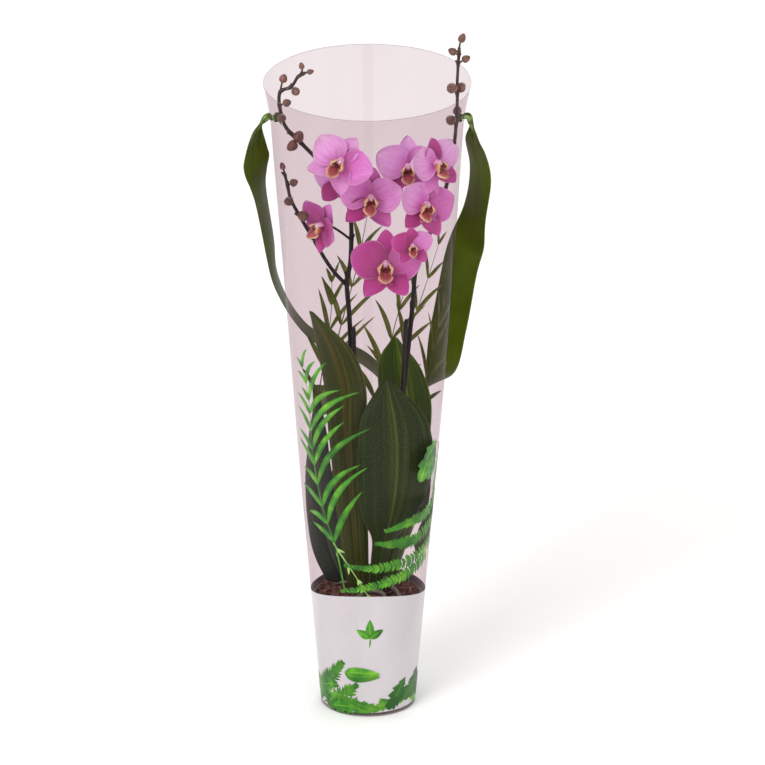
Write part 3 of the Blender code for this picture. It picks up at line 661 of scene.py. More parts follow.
LEFT_ROUTE = (
    (-12, 8, 126), (-16, 8, 300), (-19, 6, 419), (-22, 0, 468), (-18, -4, 499), (-18.5, -6, 550),
    (-31, -8, 584), (-50, -6, 607), (-68, -9, 628), (-86, -13, 650), (-92, -15, 674), (-91, -16, 690),
    (-80, -16, 695), (-73, -16, 706), (-67, -16, 710),
)
BRANCH_ROUTE = (
    (-22, 1, 466), (-39, -8, 490), (-58, -14, 526), (-74, -16, 556), (-81, -15, 571), (-84, -13, 585),
    (-87, -12, 597),
)
RIGHT_ROUTE = (
    (12, 10, 126), (28, 12, 260), (43, 8, 402), (47, 2, 449), (50, -4, 486), (59, -5, 513),
    (72, -5, 547), (83, -7, 586), (89, -12, 622), (91.5, -20, 650), (93, -21, 681), (93, -21, 704),
    (95, -20, 740),
)

# Each bud: middle (mm), length, radius (mm), its direction, and where its pedicel leaves the stem (mm)
LEFT_BUDS = (
    ((-72, -21, 642), 13, 5.8, (0.3, -0.5, 1.0), (-70, -9, 630)),
    ((-79, -23, 632), 12, 5.5, (-0.7, -0.6, -0.4), (-78, -11, 640)),
    ((-90, -26, 664), 10, 4.8, (-0.2, -1.0, 0.1), (-91, -14, 664)),
    ((-84, -25, 681), 9, 4.3, (0.8, -0.6, 0.5), (-92, -15, 674)),
    ((-88, -15, 704), 9, 4.4, (0.3, 0.1, 1.0), (-91, -16, 691)),
    ((-75, -24, 693), 9, 4.6, (0.5, -0.9, -0.3), (-82, -16, 695)),
    ((-69, -15, 718), 7, 3.0, (-0.2, 0.2, 1.0), (-72, -16, 707)),
    ((-60, -16, 712), 7, 3.0, (1.0, 0.0, 0.3), (-68, -16, 709.5)),
)
BRANCH_BUDS = (
    ((-67, -26, 555), 12, 5.8, (0.5, -0.8, 0.2), (-73, -16, 553)),
    ((-83, -26, 571), 10, 4.8, (-0.3, -1.0, 0.1), (-80, -15, 569)),
    ((-77, -20, 590), 9, 4.2, (0.7, -0.5, 0.5), (-84, -13, 584)),
    ((-89, -12, 605), 8, 3.0, (-0.3, 0.0, 1.0), (-87, -12, 596)),
)
RIGHT_BUDS = (
    ((86, -31, 664), 11, 5.4, (-0.5, -0.8, 0.3), (91.6, -20, 655)),
    ((93, -10.8, 667), 10, 4.6, (0.1, 0.8, 0.5), (92, -20, 659)),
    ((87, -30, 699), 12, 5.6, (-0.5, -0.9, 0.2), (93, -21, 693)),
    ((97, -11, 693), 12, 5.4, (0.4, 1.0, 0.1), (93, -21, 690)),
    ((102, -20, 728), 9, 4.0, (1.0, 0.0, 0.6), (94, -20.5, 722)),
    ((88, -20, 736), 9, 4.2, (-1.0, 0.0, 0.6), (94.5, -20.2, 730)),
    ((98, -20, 751), 10, 4.0, (0.4, 0.0, 1.0), (95, -20, 738)),
)


STEM_R = 2.8 * MM
STEM_TIP_R = 1.5 * MM
BRANCH_R = 2.1 * MM
BRACT_TURN = 137  # degrees round the stem from each bract to the next
BARE_HEIGHT = 200  # a stem that starts below this has two knots with nothing growing from them


def pedicel(start, end, behind, reach):
    """A curved stalk from a stem that meets a bloom or bud square to its back."""
    bend = end + behind * reach
    return [start * (1 - t) ** 2 + bend * 2 * t * (1 - t) + end * t**2 for t in spread(12)]


def knotted_stem(shape, route, thick, thin, knots):
    """Adds a stem that swells a little at each knot, with a small pointed bract there."""
    points = smooth([place(*p) for p in route], 8 * len(route))
    radii = []
    for i, point in enumerate(points):
        swell = sum(0.3 * math.exp(-(((point - knot).length / (2.6 * MM)) ** 2)) for knot in knots)
        radii.append((thick + (thin - thick) * i / (len(points) - 1)) * (1 + min(swell, 0.4)))
    shape.tube(points, radii, 12)
    for k, knot in enumerate(knots):
        i = min(range(1, len(points) - 1), key=lambda n: (points[n] - knot).length)
        ahead = (points[i + 1] - points[i - 1]).normalized()
        side = grown_at(points[i], ahead) @ about("Z", BRACT_TURN * k)
        out = side @ shifted(0, -0.8 * radii[i], -1.5 * MM) @ about("X", 14)
        petal(shape, out, 5.5 * MM, 2.1 * MM, 0.5 * MM, bend=0.3, camber=-0.8, full=0.7, widest=0.5,
              claw=0.9, steps=(7, 7))


def flower_spike(name, routes, blooms, buds, node):
    """A flower spike: its stems, and a pedicel to every bloom and bud."""
    shape = Shape()
    starts = [place(*item[-1]) for item in (*blooms, *buds)]
    for route, thick, thin in routes:
        line = smooth([place(*p) for p in route], 60)
        near = [s for s in starts if min((p - s).length for p in line) < 9 * MM]
        bare = [line[i] for i in (14, 24)] if route[0][2] < BARE_HEIGHT else []
        knotted_stem(shape, route, thick, thin, near + bare)
    for centre, turn, _, start in blooms:
        behind = facing(*turn) @ Vector((0, 1, 0))
        stalk = pedicel(place(*start), place(*centre) + behind * 0.5 * MM, behind, 8 * MM)
        shape.tube(stalk, [1.4 * MM - 0.3 * MM * t for t in spread(12)], 8)
    for centre, length, _, direction, start in buds:
        behind = -Vector(direction).normalized()
        stalk = pedicel(place(*start), place(*centre) + behind * 0.46 * length * MM, behind, 2.5 * MM)
        shape.tube(stalk, [1.1 * MM - 0.2 * MM * t for t in spread(12)], 8)
    shape.piece(name, STEM, "stem", node)


def bud(name, centre, length, radius, direction, seed):
    """A closed bud: a pointed egg whose three sepals show as seams."""
    chance = random.Random(seed)
    grown = grown_at(place(*centre), Vector(direction))
    twist = chance.uniform(0, 6)
    columns = 24
    shares = spread(15, 0.03, 0.985)
    rows = []
    for s in shares:
        lat = math.pi * s
        girth = math.sin(lat) ** 0.85 * (1 + 0.2 * math.cos(lat)) * radius * MM
        point = length / 2 * MM * (-math.cos(lat) + 0.14 * s**6)
        row = []
        for k in range(columns):
            turn = 2 * math.pi * k / columns
            seam = 1 - 0.09 * abs(math.cos(1.5 * turn + twist)) ** 8
            row.append(grown @ around(girth * seam, turn, point))
        rows.append(row)
    shape = Shape()
    shape.rows(rows, shares, closed=True, capped=True)
    shape.piece(name + "_sepals", BUD, "bud", name, levels=1)


def plant_top():
    """Both flower spikes with their blooms and buds."""
    left = ((LEFT_ROUTE, STEM_R, STEM_TIP_R), (BRANCH_ROUTE, BRANCH_R, STEM_TIP_R))
    flower_spike("spike_left_stem", left, LEFT_BLOOMS, LEFT_BUDS + BRANCH_BUDS, "spike_left")
    right = ((RIGHT_ROUTE, STEM_R, STEM_TIP_R),)
    flower_spike("spike_right_stem", right, RIGHT_BLOOMS, RIGHT_BUDS, "spike_right")
    for number, (centre, turn, size, _) in enumerate(LEFT_BLOOMS + RIGHT_BLOOMS, 1):
        bloom(number, centre, turn, size)
    for word, buds in (("bud_left", LEFT_BUDS), ("bud_branch", BRANCH_BUDS), ("bud_right", RIGHT_BUDS)):
        for i, (centre, length, radius, direction, _) in enumerate(buds, 1):
            bud(f"{word}_{i}", centre, length, radius, direction, i)


STAKE_R = 2.2 * MM
# Each stake: its node, foot and top (mm)
STAKES = (
    ("stake_left", (-6, 2, 45), (-15, -2, 419)),
    ("stake_right", (20, 4, 45), (40, -2, 428)),
)


def stakes():
    """The dark rods that the spikes are tied to."""
    for name, foot, top in STAKES:
        low, high = place(*foot), place(*top)
        shape = Shape()
        shape.tube([low.lerp(high, s) for s in spread(40)], [STAKE_R] * 40, 14)
        shape.piece(name + "_rod", BLACK, "black_plastic", name)


# ---- Leaves

# Each leaf: spine from base to tip, half widths, direction across it and bulge, each from base to tip
LEAVES = (
    (
        "leaf_left_tall",
        ((-10, -3, 127), (-14, -6, 175), (-19, -12, 250), (-22, -17, 310), (-24, -20, 363),
         (-37, -18, 408), (-60, -12, 444)),
        (11, 14, 17, 19, 22, 24, 19, 2),
        (0, -8, -14, -22, -36),
        (1, 3, 4, 4, 2),
        ("1c2802", "364208", "58641a", "60421a"),
    ),
    (
        "leaf_right_back",
        ((18, 22, 127), (26, 30, 180), (36, 36, 250), (40, 38, 310), (34, 38, 360), (28, 36, 394)),
        (6, 12, 20, 26, 31, 32, 22, 3),
        (-10, -20, -30, -32, -28),
        (-2, -4, -5, -4, -2),
        ("243e02", "426208", "6c8c1c", "8c9a3c"),
    ),
    (
        "leaf_front",
        ((6, -12, 127), (14, -18, 175), (22, -26, 215), (28, -34, 270), (27, -36, 325), (19, -34, 376)),
        (6, 9, 14, 31, 40, 41, 32, 4),
        (0, 8, 13, 14, 8),
        (1, 3, 9, 8, 4),
        ("102200", "203602", "3a5408", "4c6414"),
    ),
    (
        "leaf_right_low",
        ((20, -6, 127), (35, -7, 180), (48, -11, 225), (57, -10, 262), (61, -8, 292)),
        (5, 9, 12, 12, 10, 2),
        (35, 38, 40, 42, 44),
        (1, 2, 2, 2, 1),
        ("1a3002", "304c08", "587418", "647c28"),
    ),
    (
        "leaf_left_low",
        ((-24, 8, 127), (-39, 10, 170), (-48, 11, 220), (-52, 11, 275), (-53, 9, 338)),
        (20, 25, 25, 24, 22, 16, 3),
        (-14, -30, -44, -54, -50),
        (2, 3, 4, 4, 2),
        ("0c140c", "1a2618", "34422e", "3e4c36"),
    ),
)


def leaf(name, spine, widths, side, bulge, shades):
    """A strap leaf along its spine, folded a little along its midrib."""
    scale = PLANT_SCALE * MM
    stations, columns = 40, 17
    centres = smooth([place(*point) for point in spine], stations)
    halves = smooth([Vector((width, 0)) for width in widths], stations)
    rows = []
    for i, centre in enumerate(centres):
        share = i / (stations - 1)
        turn = math.radians(eased(side, share))
        across = around(1, turn)
        out = Vector((across.y, -across.x, 0))
        half = max(halves[i].x, 1.5) * scale
        crown = eased(bulge, share) * scale
        row = []
        for w in spread(columns, -1.0, 1.0):
            groove = 1.3 * MM * math.exp(-((w / 0.1) ** 2)) * math.sin(math.pi * min(share * 1.1, 1.0))
            ripple = 1.2 * MM * w * w * math.sin(9 * share + 3 * w)
            drop = 0.35 * half * w * w * share**10
            lean = out * (crown * (1 - w * w) - groove + ripple * share)
            row.append(centre + across * half * w + lean - Vector((0, 0, drop)))
        rows.append(row)
    shape = Shape()
    shape.blade(rows, LEAF_THICKNESS)
    shape.piece(name + "_blade", leaf_finish(name, *shades), "leaf", name, levels=1)


# ---- Pot and bark

CHIPS = 230


def bark_height(radius):
    """The height of the heap at a distance from its middle."""
    return BARK_EDGE + BARK_CROWN * (1 - (radius / POT_R) ** 2)


def bark():
    """The bark: a dark heap filling the pot, with loose chips over it and a few roots."""
    finish = bark_finish()
    inside = POT_R - 5 * MM
    heap = Shape()
    columns = 60
    turns = [2 * math.pi * k / columns for k in range(columns)]
    shares = spread(16, 0.02, 1.0)
    rows = []
    for s in shares:
        radius = inside * s
        lumps = [2.4 * MM * noise.noise(around(90 * radius, t)) for t in turns]
        height = bark_height(radius) - 1.5 * MM
        rows.append([around(radius, t, height + lump) for t, lump in zip(turns, lumps)])
    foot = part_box("bark_medium")[0].z
    foot_radius = inside - POT_TAPER * (BARK_EDGE - foot)
    rows.append([around(foot_radius, t, foot) for t in turns])
    heap.rows(rows, [*shares, 1.0], 0.9, closed=True, capped=True)
    heap.piece("bark_heap", finish, "bark", "bark_medium")

    chance = random.Random(5)
    chips = Shape()
    for _ in range(CHIPS):
        radius = inside * 0.96 * math.sqrt(chance.random())
        turn = chance.uniform(0, 2 * math.pi)
        spot = around(radius, turn, bark_height(radius) - 0.5 * MM)
        tilt = Matrix.Rotation(chance.gauss(0, 0.45), 4, "X") @ Matrix.Rotation(chance.gauss(0, 0.45), 4, "Y")
        pose = Matrix.Translation(spot) @ tilt @ Matrix.Rotation(chance.uniform(0, 6), 4, "Z")
        chip(chips, pose, chance)
    chips.piece("bark_chips", finish, "bark", flat=True)

    roots = Shape()
    for turn, reach, rise in ((-70, 46, 5), (-120, 40, 6), (-25, 44, 4), (150, 42, 6), (60, 45, 5)):
        out = around(1, math.radians(turn))
        aside = Vector((-out.y, out.x, 0))
        route = [
            out * (8 + (reach - 8) * t) * MM + aside * 7 * MM * math.sin(4 * t + turn)
            + Vector((0, 0, bark_height(reach * t * MM) + (rise * math.sin(math.pi * t) + 2 * (1 - t)) * MM))
            for t in spread(24)
        ]
        roots.tube(route, [(2.6 - 0.7 * t) * MM for t in spread(24)], 10)
    roots.piece("aerial_roots", ROOT, "bark")


def chip(shape, pose, chance):
    """Adds one angular chip of bark: the hull of a few points in a flat box."""
    size = Vector((chance.uniform(4.5, 9), chance.uniform(3, 6), chance.uniform(1.4, 2.8))) * MM
    bm = bmesh.new()
    for _ in range(11):
        corner = Vector([chance.uniform(-1, 1) for _ in range(3)])
        corner /= max(abs(c) for c in corner)
        bm.verts.new([c * s for c, s in zip(corner, size)])
    hull = bmesh.ops.convex_hull(bm, input=bm.verts)
    bmesh.ops.delete(bm, geom=list({*hull["geom_interior"], *hull["geom_unused"]}), context="VERTS")
    bm.verts.index_update()
    first = len(shape.points)
    shape.points += [pose @ v.co for v in bm.verts]
    shape.pattern += [(0.5, 0.5)] * len(bm.verts)
    shape.tones += [chance.random() * 0.8] * len(bm.verts)
    shape.faces += [tuple(first + v.index for v in face.verts) for face in bm.faces]
    bm.free()


# ---- Sleeve and its print


def sleeve():
    """The sleeve of clear film, with its slots, its lapped seam at the back and its cut edges."""
    coarse = spread(60, 0.0, SLOT_HEIGHT - 3 * SLOT_HALF.y)
    fine = spread(18, SLOT_HEIGHT - 2.6 * SLOT_HALF.y, SLOT_HEIGHT + 2.6 * SLOT_HALF.y)
    flare = spread(8, SLOT_HEIGHT + 3.4 * SLOT_HALF.y, RIM_HEIGHT)
    heights = coarse + fine + flare
    columns = 240
    rows = [[on_film(360 * k / columns - 180, height) for k in range(columns)] for height in heights]
    shape = Shape()
    shape.rows(rows, [height / RIM_HEIGHT for height in heights], closed=True)
    film = shape.piece("sleeve_film", FILM, "clear_film", "carry_sleeve")
    cut_slots(film.data)
    seam = Shape()
    heights = spread(60, 0.0, RIM_HEIGHT)
    rows = []
    for height in heights:
        half = math.degrees(5 * MM / sleeve_radius(height))
        rows.append([on_film(180 + half * w, height, 0.35 * MM) for w in spread(5, -1, 1)])
    seam.rows(rows, heights)
    seam.piece("sleeve_seam", FILM_LAP, "clear_film")
    edges = Shape()
    for height in (0.4 * MM, RIM_HEIGHT - 0.3 * MM):
        ring = [on_film(turn, height) for turn in spread(121, -180, 180)]
        edges.tube(ring, [0.3 * MM] * len(ring), 6)
    for turn in (-90, 90):
        middle = on_film(turn, SLOT_HEIGHT)
        loop = []
        for t in spread(41, 0, 2 * math.pi):
            aside = math.degrees(SLOT_HALF.x * math.cos(t) / middle.xy.length)
            loop.append(on_film(turn + aside, SLOT_HEIGHT + SLOT_HALF.y * math.sin(t)))
        edges.tube(loop, [0.25 * MM] * len(loop), 6)
    edges.piece("sleeve_edges", FILM_EDGE, "clear_film")


def cut_slots(mesh):
    """Opens the film at both slots, one at each side, and draws the cut edges out to ovals."""
    bm = bmesh.new()
    bm.from_mesh(mesh)

    def off(point):
        return Vector((point.y / SLOT_HALF.x, (point.z - SLOT_HEIGHT) / SLOT_HALF.y))

    def near(point, reach):
        return off(point).length < reach and abs(point.x) > RIM_R / 2

    inside = [face for face in bm.faces if near(face.calc_center_median(), 1)]
    bmesh.ops.delete(bm, geom=inside, context="FACES")
    for vert in bm.verts:
        if vert.is_boundary and near(vert.co, 1.6):
            away = off(vert.co).normalized()
            vert.co.y = away.x * SLOT_HALF.x
            vert.co.z = SLOT_HEIGHT + away.y * SLOT_HALF.y
    bm.to_mesh(mesh)
    bm.free()


def unrolled(point, proud=INK_PROUD):
    """A point of the print, given as its distance round from the front and its height, on the film."""
    height = min(max(point.y, 0.0), RIM_HEIGHT)
    return on_film(math.degrees(point.x / sleeve_radius(height)), height, proud)


def flat(turn, height):
    """The print's place at a turn in degrees and a height in millimetres."""
    return Vector((math.radians(turn) * sleeve_radius(height * MM), height * MM))


def leaflet(shape, root, heading, length, half, droop=0.0, teeth=0, tone=0.0, proud=INK_PROUD):
    """Adds one printed leaf. heading is its direction in radians from straight up, clockwise."""
    rows = []
    centre = root.copy()
    steps = 12 + 6 * teeth
    for u in spread(steps):
        angle = heading + droop * u
        ahead = Vector((math.sin(angle), math.cos(angle)))
        aside = Vector((ahead.y, -ahead.x))
        width = half * max(math.sin(math.pi * min(u**0.7, 1.0)), 0.0) ** 0.8 + 0.1 * MM
        if teeth:
            width *= 1 - 0.45 * (u * teeth % 1.0)
        rows.append([unrolled(centre + aside * width * w, proud) for w in spread(5, -1, 1)])
        centre = centre + ahead * length / (steps - 1)
    shape.rows(rows, spread(steps), tone)


def leaflet_at(shape, turn, height, heading, length, half, *rest, **more):
    """Adds one printed leaf by the place of its root, with its sizes in millimetres."""
    leaflet(shape, flat(turn, height), heading, length * MM, half * MM, *rest, **more)


def frond(shape, route, count, reach, half, lean, droop=0.4, start=0.12, proud=INK_PROUD, seed=1):
    """Adds a printed frond: a stalk with leaflets down both sides, reach long on its left and right."""
    chance = random.Random(seed)
    line = smooth([flat(*p) for p in route], 80)
    last = len(line) - 1
    stalk = []
    for i, point in enumerate(line):
        ahead = (line[min(i + 1, last)] - line[max(i - 1, 0)]).normalized()
        aside = Vector((ahead.y, -ahead.x)) * (0.9 - 0.6 * i / last) * MM
        stalk.append([unrolled(point + aside * w, proud + 0.05 * MM) for w in (-1, 0, 1)])
    shape.rows(stalk, spread(len(line)), 0.6)
    for k in range(count):
        share = start + (1 - start) * k / (count - 1)
        i = min(int(share * last), last - 1)
        ahead = (line[i + 1] - line[i]).normalized()
        heading = math.atan2(ahead.x, ahead.y)
        bell = 0.35 + 0.65 * math.sin(math.pi * min(0.25 + 0.75 * share, 1.0))
        for side, far in ((-1, reach[0]), (1, reach[1])):
            leaflet(
                shape, line[i],
                heading + side * math.radians(lean * (1 - 0.6 * share) + chance.uniform(-6, 6)),
                far * bell * chance.uniform(0.8, 1.15), half * (0.6 + 0.4 * bell),
                side * droop * chance.uniform(0.5, 1.2), tone=chance.uniform(0, 0.7), proud=proud,
            )


def white_band():
    """The white print round the pot. Its upper edge rises at the front."""
    shape = Shape()
    columns = 180
    foot = 4 * MM
    shares = spread(24)
    rows = []
    for s in shares:
        row = []
        for k in range(columns):
            turn = 360 * k / columns
            angle = math.radians(turn)
            top = (130 + 7 * math.cos(angle) + 4 * math.cos(2 * angle)) * MM
            row.append(on_film(turn, foot + (top - foot) * s, 0.08 * MM))
        rows.append(row)
    shape.rows(rows, shares, closed=True)
    shape.piece("print_band", BAND, "clear_film")


def front_print():
    """Bright foliage printed on the front of the sleeve."""
    palm = Shape()
    frond(
        palm,
        ((-23, 147), (-31, 198), (-41, 230), (-48, 268), (-51, 301), (-51, 335), (-51, 364), (-56, 396)),
        11, (38 * MM, 92 * MM), 3.3 * MM, lean=34, droop=0.95, start=0.16, seed=3,
    )
    palm.piece("print_palm", PRINT_GREEN, "clear_film")
    ferns = Shape()
    for k, route in enumerate((
        ((86, 240), (64, 224), (40, 222), (16, 217)),
        ((82, 210), (50, 200), (28, 200), (7, 203)),
        ((80, 188), (46, 178), (10, 174), (-22, 176)),
        ((70, 174), (41, 163), (8, 154), (-27, 145)),
        ((92, 290), (84, 272), (78, 250), (74, 224)),
    )):
        frond(ferns, route, 30, (9 * MM, 9 * MM), 1.7 * MM, lean=72, droop=0.3, start=0.02,
              proud=(0.2 + 0.06 * k) * MM, seed=10 + k)
    ferns.piece("print_ferns", PRINT_GREEN, "clear_film")
    curl = Shape()
    for k, lobe in enumerate((
        (50, 264, 0.35, 46, 13), (62, 262, 0.1, 46, 14), (70, 268, -0.3, 40, 12), (54, 286, 0.8, 30, 11),
    )):
        leaflet_at(curl, *lobe, 0.5, 3, 0.15 * k, proud=(0.2 + 0.06 * k) * MM)
    curl.piece("print_curled_leaf", PRINT_GREEN, "clear_film")
    stem = Shape()
    frond(stem, ((-33, 200), (-16, 172), (0, 142)), 4, (9 * MM, 11 * MM), 1.3 * MM, lean=36, seed=8)
    stem.piece("print_pale_sprig", PRINT_PALE, "clear_film")


def foot_print():
    """Foliage printed round the foot of the white band, and a plain three leaved sprig above it."""
    greens = Shape()
    chance = random.Random(21)
    for k, route in enumerate((
        ((-76, 20), (-58, 30), (-42, 46), (-30, 60)),
        ((-66, 6), (-46, 12), (-28, 24), (-14, 36)),
        ((-50, 6), (-34, 10), (-18, 12), (0, 10)),
    )):
        frond(greens, route, 16, (14 * MM, 14 * MM), 1.7 * MM, lean=62, droop=0.3,
              proud=(0.2 + 0.05 * k) * MM, seed=30 + k)
    for k in range(60):
        turn = 20 + chance.uniform(0, 320)
        low = 6 + abs(chance.gauss(0, 7))
        leaflet_at(
            greens, turn - 360 if turn > 180 else turn, low, chance.uniform(-1.3, 1.3),
            chance.uniform(12, 26), chance.uniform(3.5, 8), chance.uniform(-0.6, 0.6),
            chance.choice((0, 3, 4)), chance.uniform(0, 1), proud=(0.16 + 0.004 * k) * MM,
        )
    for k, toothed in enumerate((
        (-46, 7, 1.3, 26, 7), (-20, 8, 1.5, 30, 6), (-2, 6, -1.3, 26, 6), (8, 9, 1.2, 26, 7),
        (14, 8, -1.4, 30, 6), (30, 10, 0.4, 34, 10), (46, 14, 0.9, 32, 11), (62, 12, 0.3, 34, 12),
        (22, 8, 1.0, 24, 8), (84, 8, -0.2, 30, 9),
    )):
        leaflet_at(greens, *toothed, 0.3, 4, 0.2 * k, proud=(0.42 + 0.02 * k) * MM)
    for height, heading, half, tone in ((48, 1.5, 8.5, 0.7), (50, 1.46, 6.0, 0.0)):
        leaflet_at(greens, -27, height, heading, 38, half, 0.3, 0, tone, proud=(0.7 - 0.1 * tone) * MM)
    greens.piece("print_foot_leaves", PRINT_GREEN, "clear_film")
    sprig = Shape()
    for k, (heading, length) in enumerate(((-0.9, 17), (0.0, 22), (0.9, 17))):
        leaflet_at(sprig, 2, 92, heading, length, 4.4, 0.2 * (k - 1), proud=0.3 * MM)
    leaflet_at(sprig, 2, 92.5, math.pi - 0.15, 12, 0.8, 0.5, proud=0.3 * MM)
    sprig.piece("print_sprig", PRINT_GREEN, "clear_film")


def back_print():
    """Muted fronds and broad leaves printed on the back of the sleeve."""
    fronds = Shape()
    for k, route in enumerate((
        ((212, 330), (200, 390), (188, 450), (180, 512)),
        ((226, 300), (216, 350), (208, 400), (206, 440)),
        ((168, 300), (152, 370), (138, 430), (124, 494)),
        ((178, 290), (168, 340), (160, 390), (152, 440)),
        ((140, 290), (128, 340), (120, 390), (112, 430)),
    )):
        frond(fronds, route, 5, (58 * MM, 58 * MM), 2.5 * MM, lean=34, droop=0.35,
              proud=(0.4 + 0.05 * k) * MM, seed=40 + k)
    fronds.piece("print_back_fronds", PRINT_OLIVE, "clear_film")
    leaves = Shape()
    chance = random.Random(50)
    for k in range(16):
        leaflet_at(
            leaves, 118 + 8.5 * k, 150 + chance.uniform(-6, 30), chance.uniform(-0.5, 0.5),
            chance.uniform(60, 95), chance.uniform(10, 16), chance.uniform(-0.4, 0.4), 0,
            chance.uniform(0, 0.8), proud=(0.4 + 0.03 * k) * MM,
        )
    for blade in ((214, 296, 0.5, 46), (206, 240, -0.4, 60), (178, 205, 0.2, 70), (168, 190, -0.5, 60)):
        leaflet_at(leaves, *blade, 12, 0.4, 0, 0.2, proud=1.0 * MM)
    leaves.piece("print_back_leaves", PRINT_PALE, "clear_film")


# ---- Ribbon

RIBBON_WIDTH = 38 * MM
RIBBON_THICKNESS = 0.35 * MM
# The ribbon's stations, as the part has them: direction round the sleeve (180 left, 90 back, 0 right), drop
# below the slots (mm), stand-off from the film in half widths, and the direction of its width in plan
RIBBON_STATIONS = (
    (180, 14, 0.74, 62), (179, 48, 0.97, 49), (177, 72, 0.95, 62), (175, 96, 0.9, 71),
    (171, 150, 0.7, 80), (160, 197, 0.75, 87), (128, 273, 0.95, 90), (93, 311, 1.15, 90),
    (69, 342, 1.15, 90), (42, 322, 1.05, 45), (36, 262, 1.15, 3), (25, 184, 1.0, 0),
    (13, 125, 1.1, -48), (5, 68, 1.12, -55), (1, 32, 0.66, -62), (0, 13, 0.45, -75),
)


def ribbon():
    """The satin ribbon: pleated where it is drawn through each slot, and loose behind the sleeve."""
    reach_in = 4.5 * MM
    depths = (-reach_in, -0.4 * reach_in, 0.8 * reach_in)
    given = [Vector((180, 0, depth, 90)) for depth in depths]
    for turn, drop, off, plan in RIBBON_STATIONS:
        given.append(Vector((turn, drop * MM, off * RIBBON_WIDTH / 2, plan)))
    given += [Vector((0, 0, depth, -90)) for depth in reversed(depths)]
    stations = smooth(given, 260)
    centres, across = [], []
    for turn, drop, off, plan in stations:
        height = SLOT_HEIGHT - drop
        outward = around(1, math.radians(turn))
        centres.append(outward * (sleeve_radius(height) + off) + Vector((0, 0, height)))
        across.append(around(1, math.radians(plan)))
    neck = [11 * MM, 9 * MM, 9 * MM, 0.55 * RIBBON_WIDTH]
    widths = neck + [RIBBON_WIDTH] * (len(given) - 2 * len(neck)) + neck[::-1]
    rows = []
    for i, centre in enumerate(centres):
        share = i / (len(centres) - 1)
        ahead = (centres[min(i + 1, len(centres) - 1)] - centres[max(i - 1, 0)]).normalized()
        side = (across[i] - ahead * across[i].dot(ahead)).normalized()
        out = ahead.cross(side)
        width = eased(widths, share)
        gather = 1 - width / RIBBON_WIDTH
        row = []
        for v in spread(25, -1.0, 1.0):
            pleat = 2.6 * MM * gather * math.sin(3 * math.pi * v + 1.0)
            near = math.exp(-min(share, 1 - share) * 16)
            fold = 3.4 * MM * near * (1 - gather) * math.sin(2.4 * math.pi * v + 26 * share)
            camber = 1.6 * MM * (1 - v * v) * math.sin(22 * share + 0.5)
            twist = 1.1 * MM * v * math.sin(41 * share)
            row.append(centre + side * width / 2 * v + out * (pleat + fold + camber + twist))
        rows.append(row)
    shape = Shape()
    shape.blade(rows, RIBBON_THICKNESS)
    tape = shape.piece("ribbon_tape", SATIN, "green_satin", "ribbon_handle")
    knots = [ribbon_knot(word, end) for word, end in (("left", centres[0]), ("right", centres[-1]))]


def ribbon_knot(word, end):
    """The knot that stops the ribbon inside the film: an overhand knot pulled tight, with a short tail."""
    inward = -Vector((end.x, 0, 0)).normalized()
    middle = end + inward * 1.5 * MM
    shape = Shape()
    route = []
    for t in spread(61, 0, 2 * math.pi):
        x = (math.sin(t) + 2 * math.sin(2 * t)) * 1.25
        y = (math.cos(t) - 2 * math.cos(2 * t)) * 1.25
        z = -math.sin(3 * t) * 1.2
        route.append(middle + (inward * z + Vector((0, x, y))) * MM)
    shape.tube(route, [1.9 * MM] * len(route), 10)
    tail = [middle + (inward * 5 * t + Vector((0, 3 * t, -9 * t))) * MM for t in spread(8)]
    rows = []
    for i, point in enumerate(tail):
        wide = 0.5 + 0.7 * i / (len(tail) - 1)
        rows.append([point + Vector((0, 1, 0)) * 3.2 * MM * v * wide for v in spread(7, -1, 1)])
    shape.blade(rows, 0.6 * MM)
    return shape.piece(f"ribbon_knot_{word}", SATIN, "green_satin")


def carried_over():
    """Better materials for the CAD nodes that stay, and the clip's finger grips."""
    nodes = frame["nodes"]
    for name, finish in (("nursery_pot", POT), ("stem_clip", BLACK)):
        nodes[name].data.materials.clear()
        nodes[name].data.materials.append(finish)
    low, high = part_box("stem_clip")
    middle = (low + high) / 2
    grips = Shape()
    for side in (-1, 1):
        root = Vector((middle.x + side * 1.4 * MM, low.y + 0.6 * MM, middle.z))
        route = [root + Vector((side * 1.6 * t, -7 * t, 0.6 * t)) * MM for t in spread(6)]
        rows = [[point + Vector((0, 0, 2.4 * MM * v)) for v in spread(5, -1, 1)] for point in route]
        grips.blade(rows, 1.1 * MM)
    grips.piece("stem_clip_grips", BLACK, "black_plastic", levels=1)


# ---- Studio

FLOOR_REACH = 14.0
SKY_COLOUR = (1.0, 0.99, 0.985, 1.0)
SKY_STRENGTH = 0.78
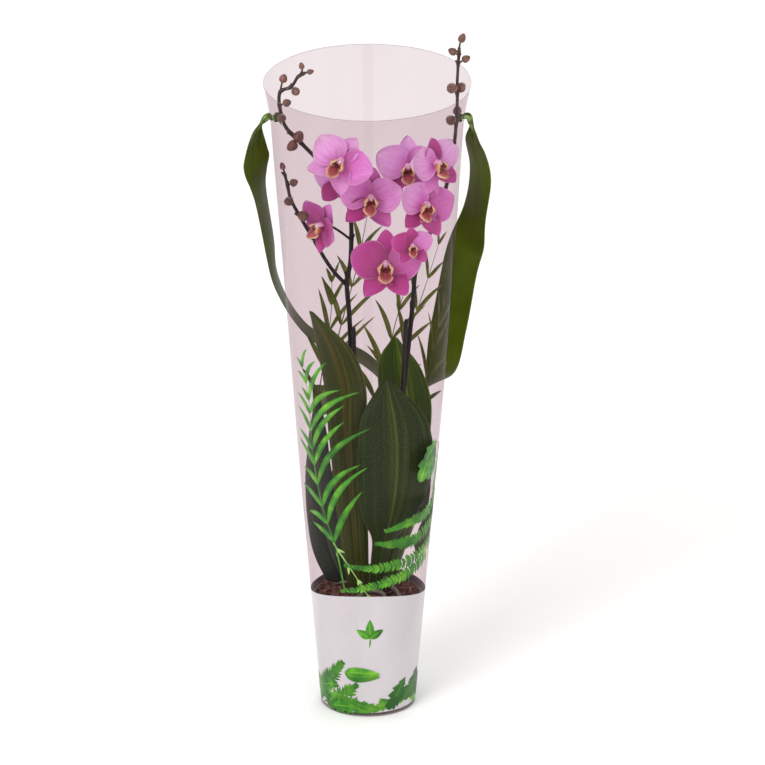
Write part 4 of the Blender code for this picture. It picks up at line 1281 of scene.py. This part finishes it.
# Each light: its name, where it is, the height it faces above the origin, width, height (all m) and power (W)
LIGHTS = (
    ("key", (-1.6, -2.4, 3.0), 0.4, 1.8, 1.8, 66),
    ("fill", (2.6, -1.8, 1.6), 0.4, 1.6, 1.6, 10),
    ("strip_left", (-1.5, -2.2, 0.9), 0.5, 0.1, 1.8, 9),
    ("strip_right", (0.9, -2.4, 1.2), 0.5, 0.06, 1.6, 7),
    ("back", (0.6, 2.6, 2.2), 0.4, 1.4, 1.4, 16),
)


def studio():
    """A pale floor, soft light all round, and tall strip lights that the film picks up."""
    mesh = bpy.data.meshes.new("floor")
    corners = [(FLOOR_REACH * x, FLOOR_REACH * y, 0) for x, y in ((-1, -1), (1, -1), (1, 1), (-1, 1))]
    mesh.from_pydata(corners, [], [(0, 1, 2, 3)])
    f = Finish("floor", 0.85)
    f.paint(f.ramp(f.noise(3.0, detail=6.0), (0.3, "fbfaf9"), (0.7, "fdfcfb")))
    mesh.materials.append(f.material)
    floor = added("floor", mesh)
    floor.location.z = -0.5 * MM
    world = bpy.data.worlds.new("studio")
    bpy.context.scene.world = world
    world.use_nodes = True
    sky = world.node_tree.nodes["Background"].inputs
    sky["Color"].default_value = SKY_COLOUR
    sky["Strength"].default_value = SKY_STRENGTH
    for name, where, aim, width, height, power in LIGHTS:
        light = bpy.data.lights.new(name, "AREA")
        light.shape = "RECTANGLE"
        light.size = width
        light.size_y = height
        light.energy = power
        obj = added(name, light)
        obj.location = where
        obj.rotation_euler = (Vector((0, 0, aim)) - Vector(where)).to_track_quat("-Z", "Y").to_euler()


def camera():
    """A long lens that looks down at the front, as the photograph does."""
    lift = math.radians(CAMERA_LIFT)
    up = Vector((0, math.sin(lift), math.cos(lift)))
    forward = Vector((0, math.cos(lift), -math.sin(lift)))
    data = bpy.data.cameras.new("camera")
    data.sensor_width = SENSOR
    data.lens = SENSOR * CAMERA_FAR / CAMERA_VIEW
    data.clip_end = 3 * CAMERA_FAR
    obj = added("camera", data)
    obj.location = Vector((CAMERA_AIM.x, 0, 0)) + up * CAMERA_AIM.y - forward * CAMERA_FAR
    obj.rotation_euler = (math.pi / 2 - lift, 0, 0)
    bpy.context.scene.camera = obj


camera()
studio()
bpy.context.scene.view_settings.view_transform = "Standard"
carried_over()
bark()
stakes()
for shape_of_leaf in LEAVES:
    leaf(*shape_of_leaf)
plant_top()
sleeve()
white_band()
front_print()
foot_print()
back_print()
ribbon()
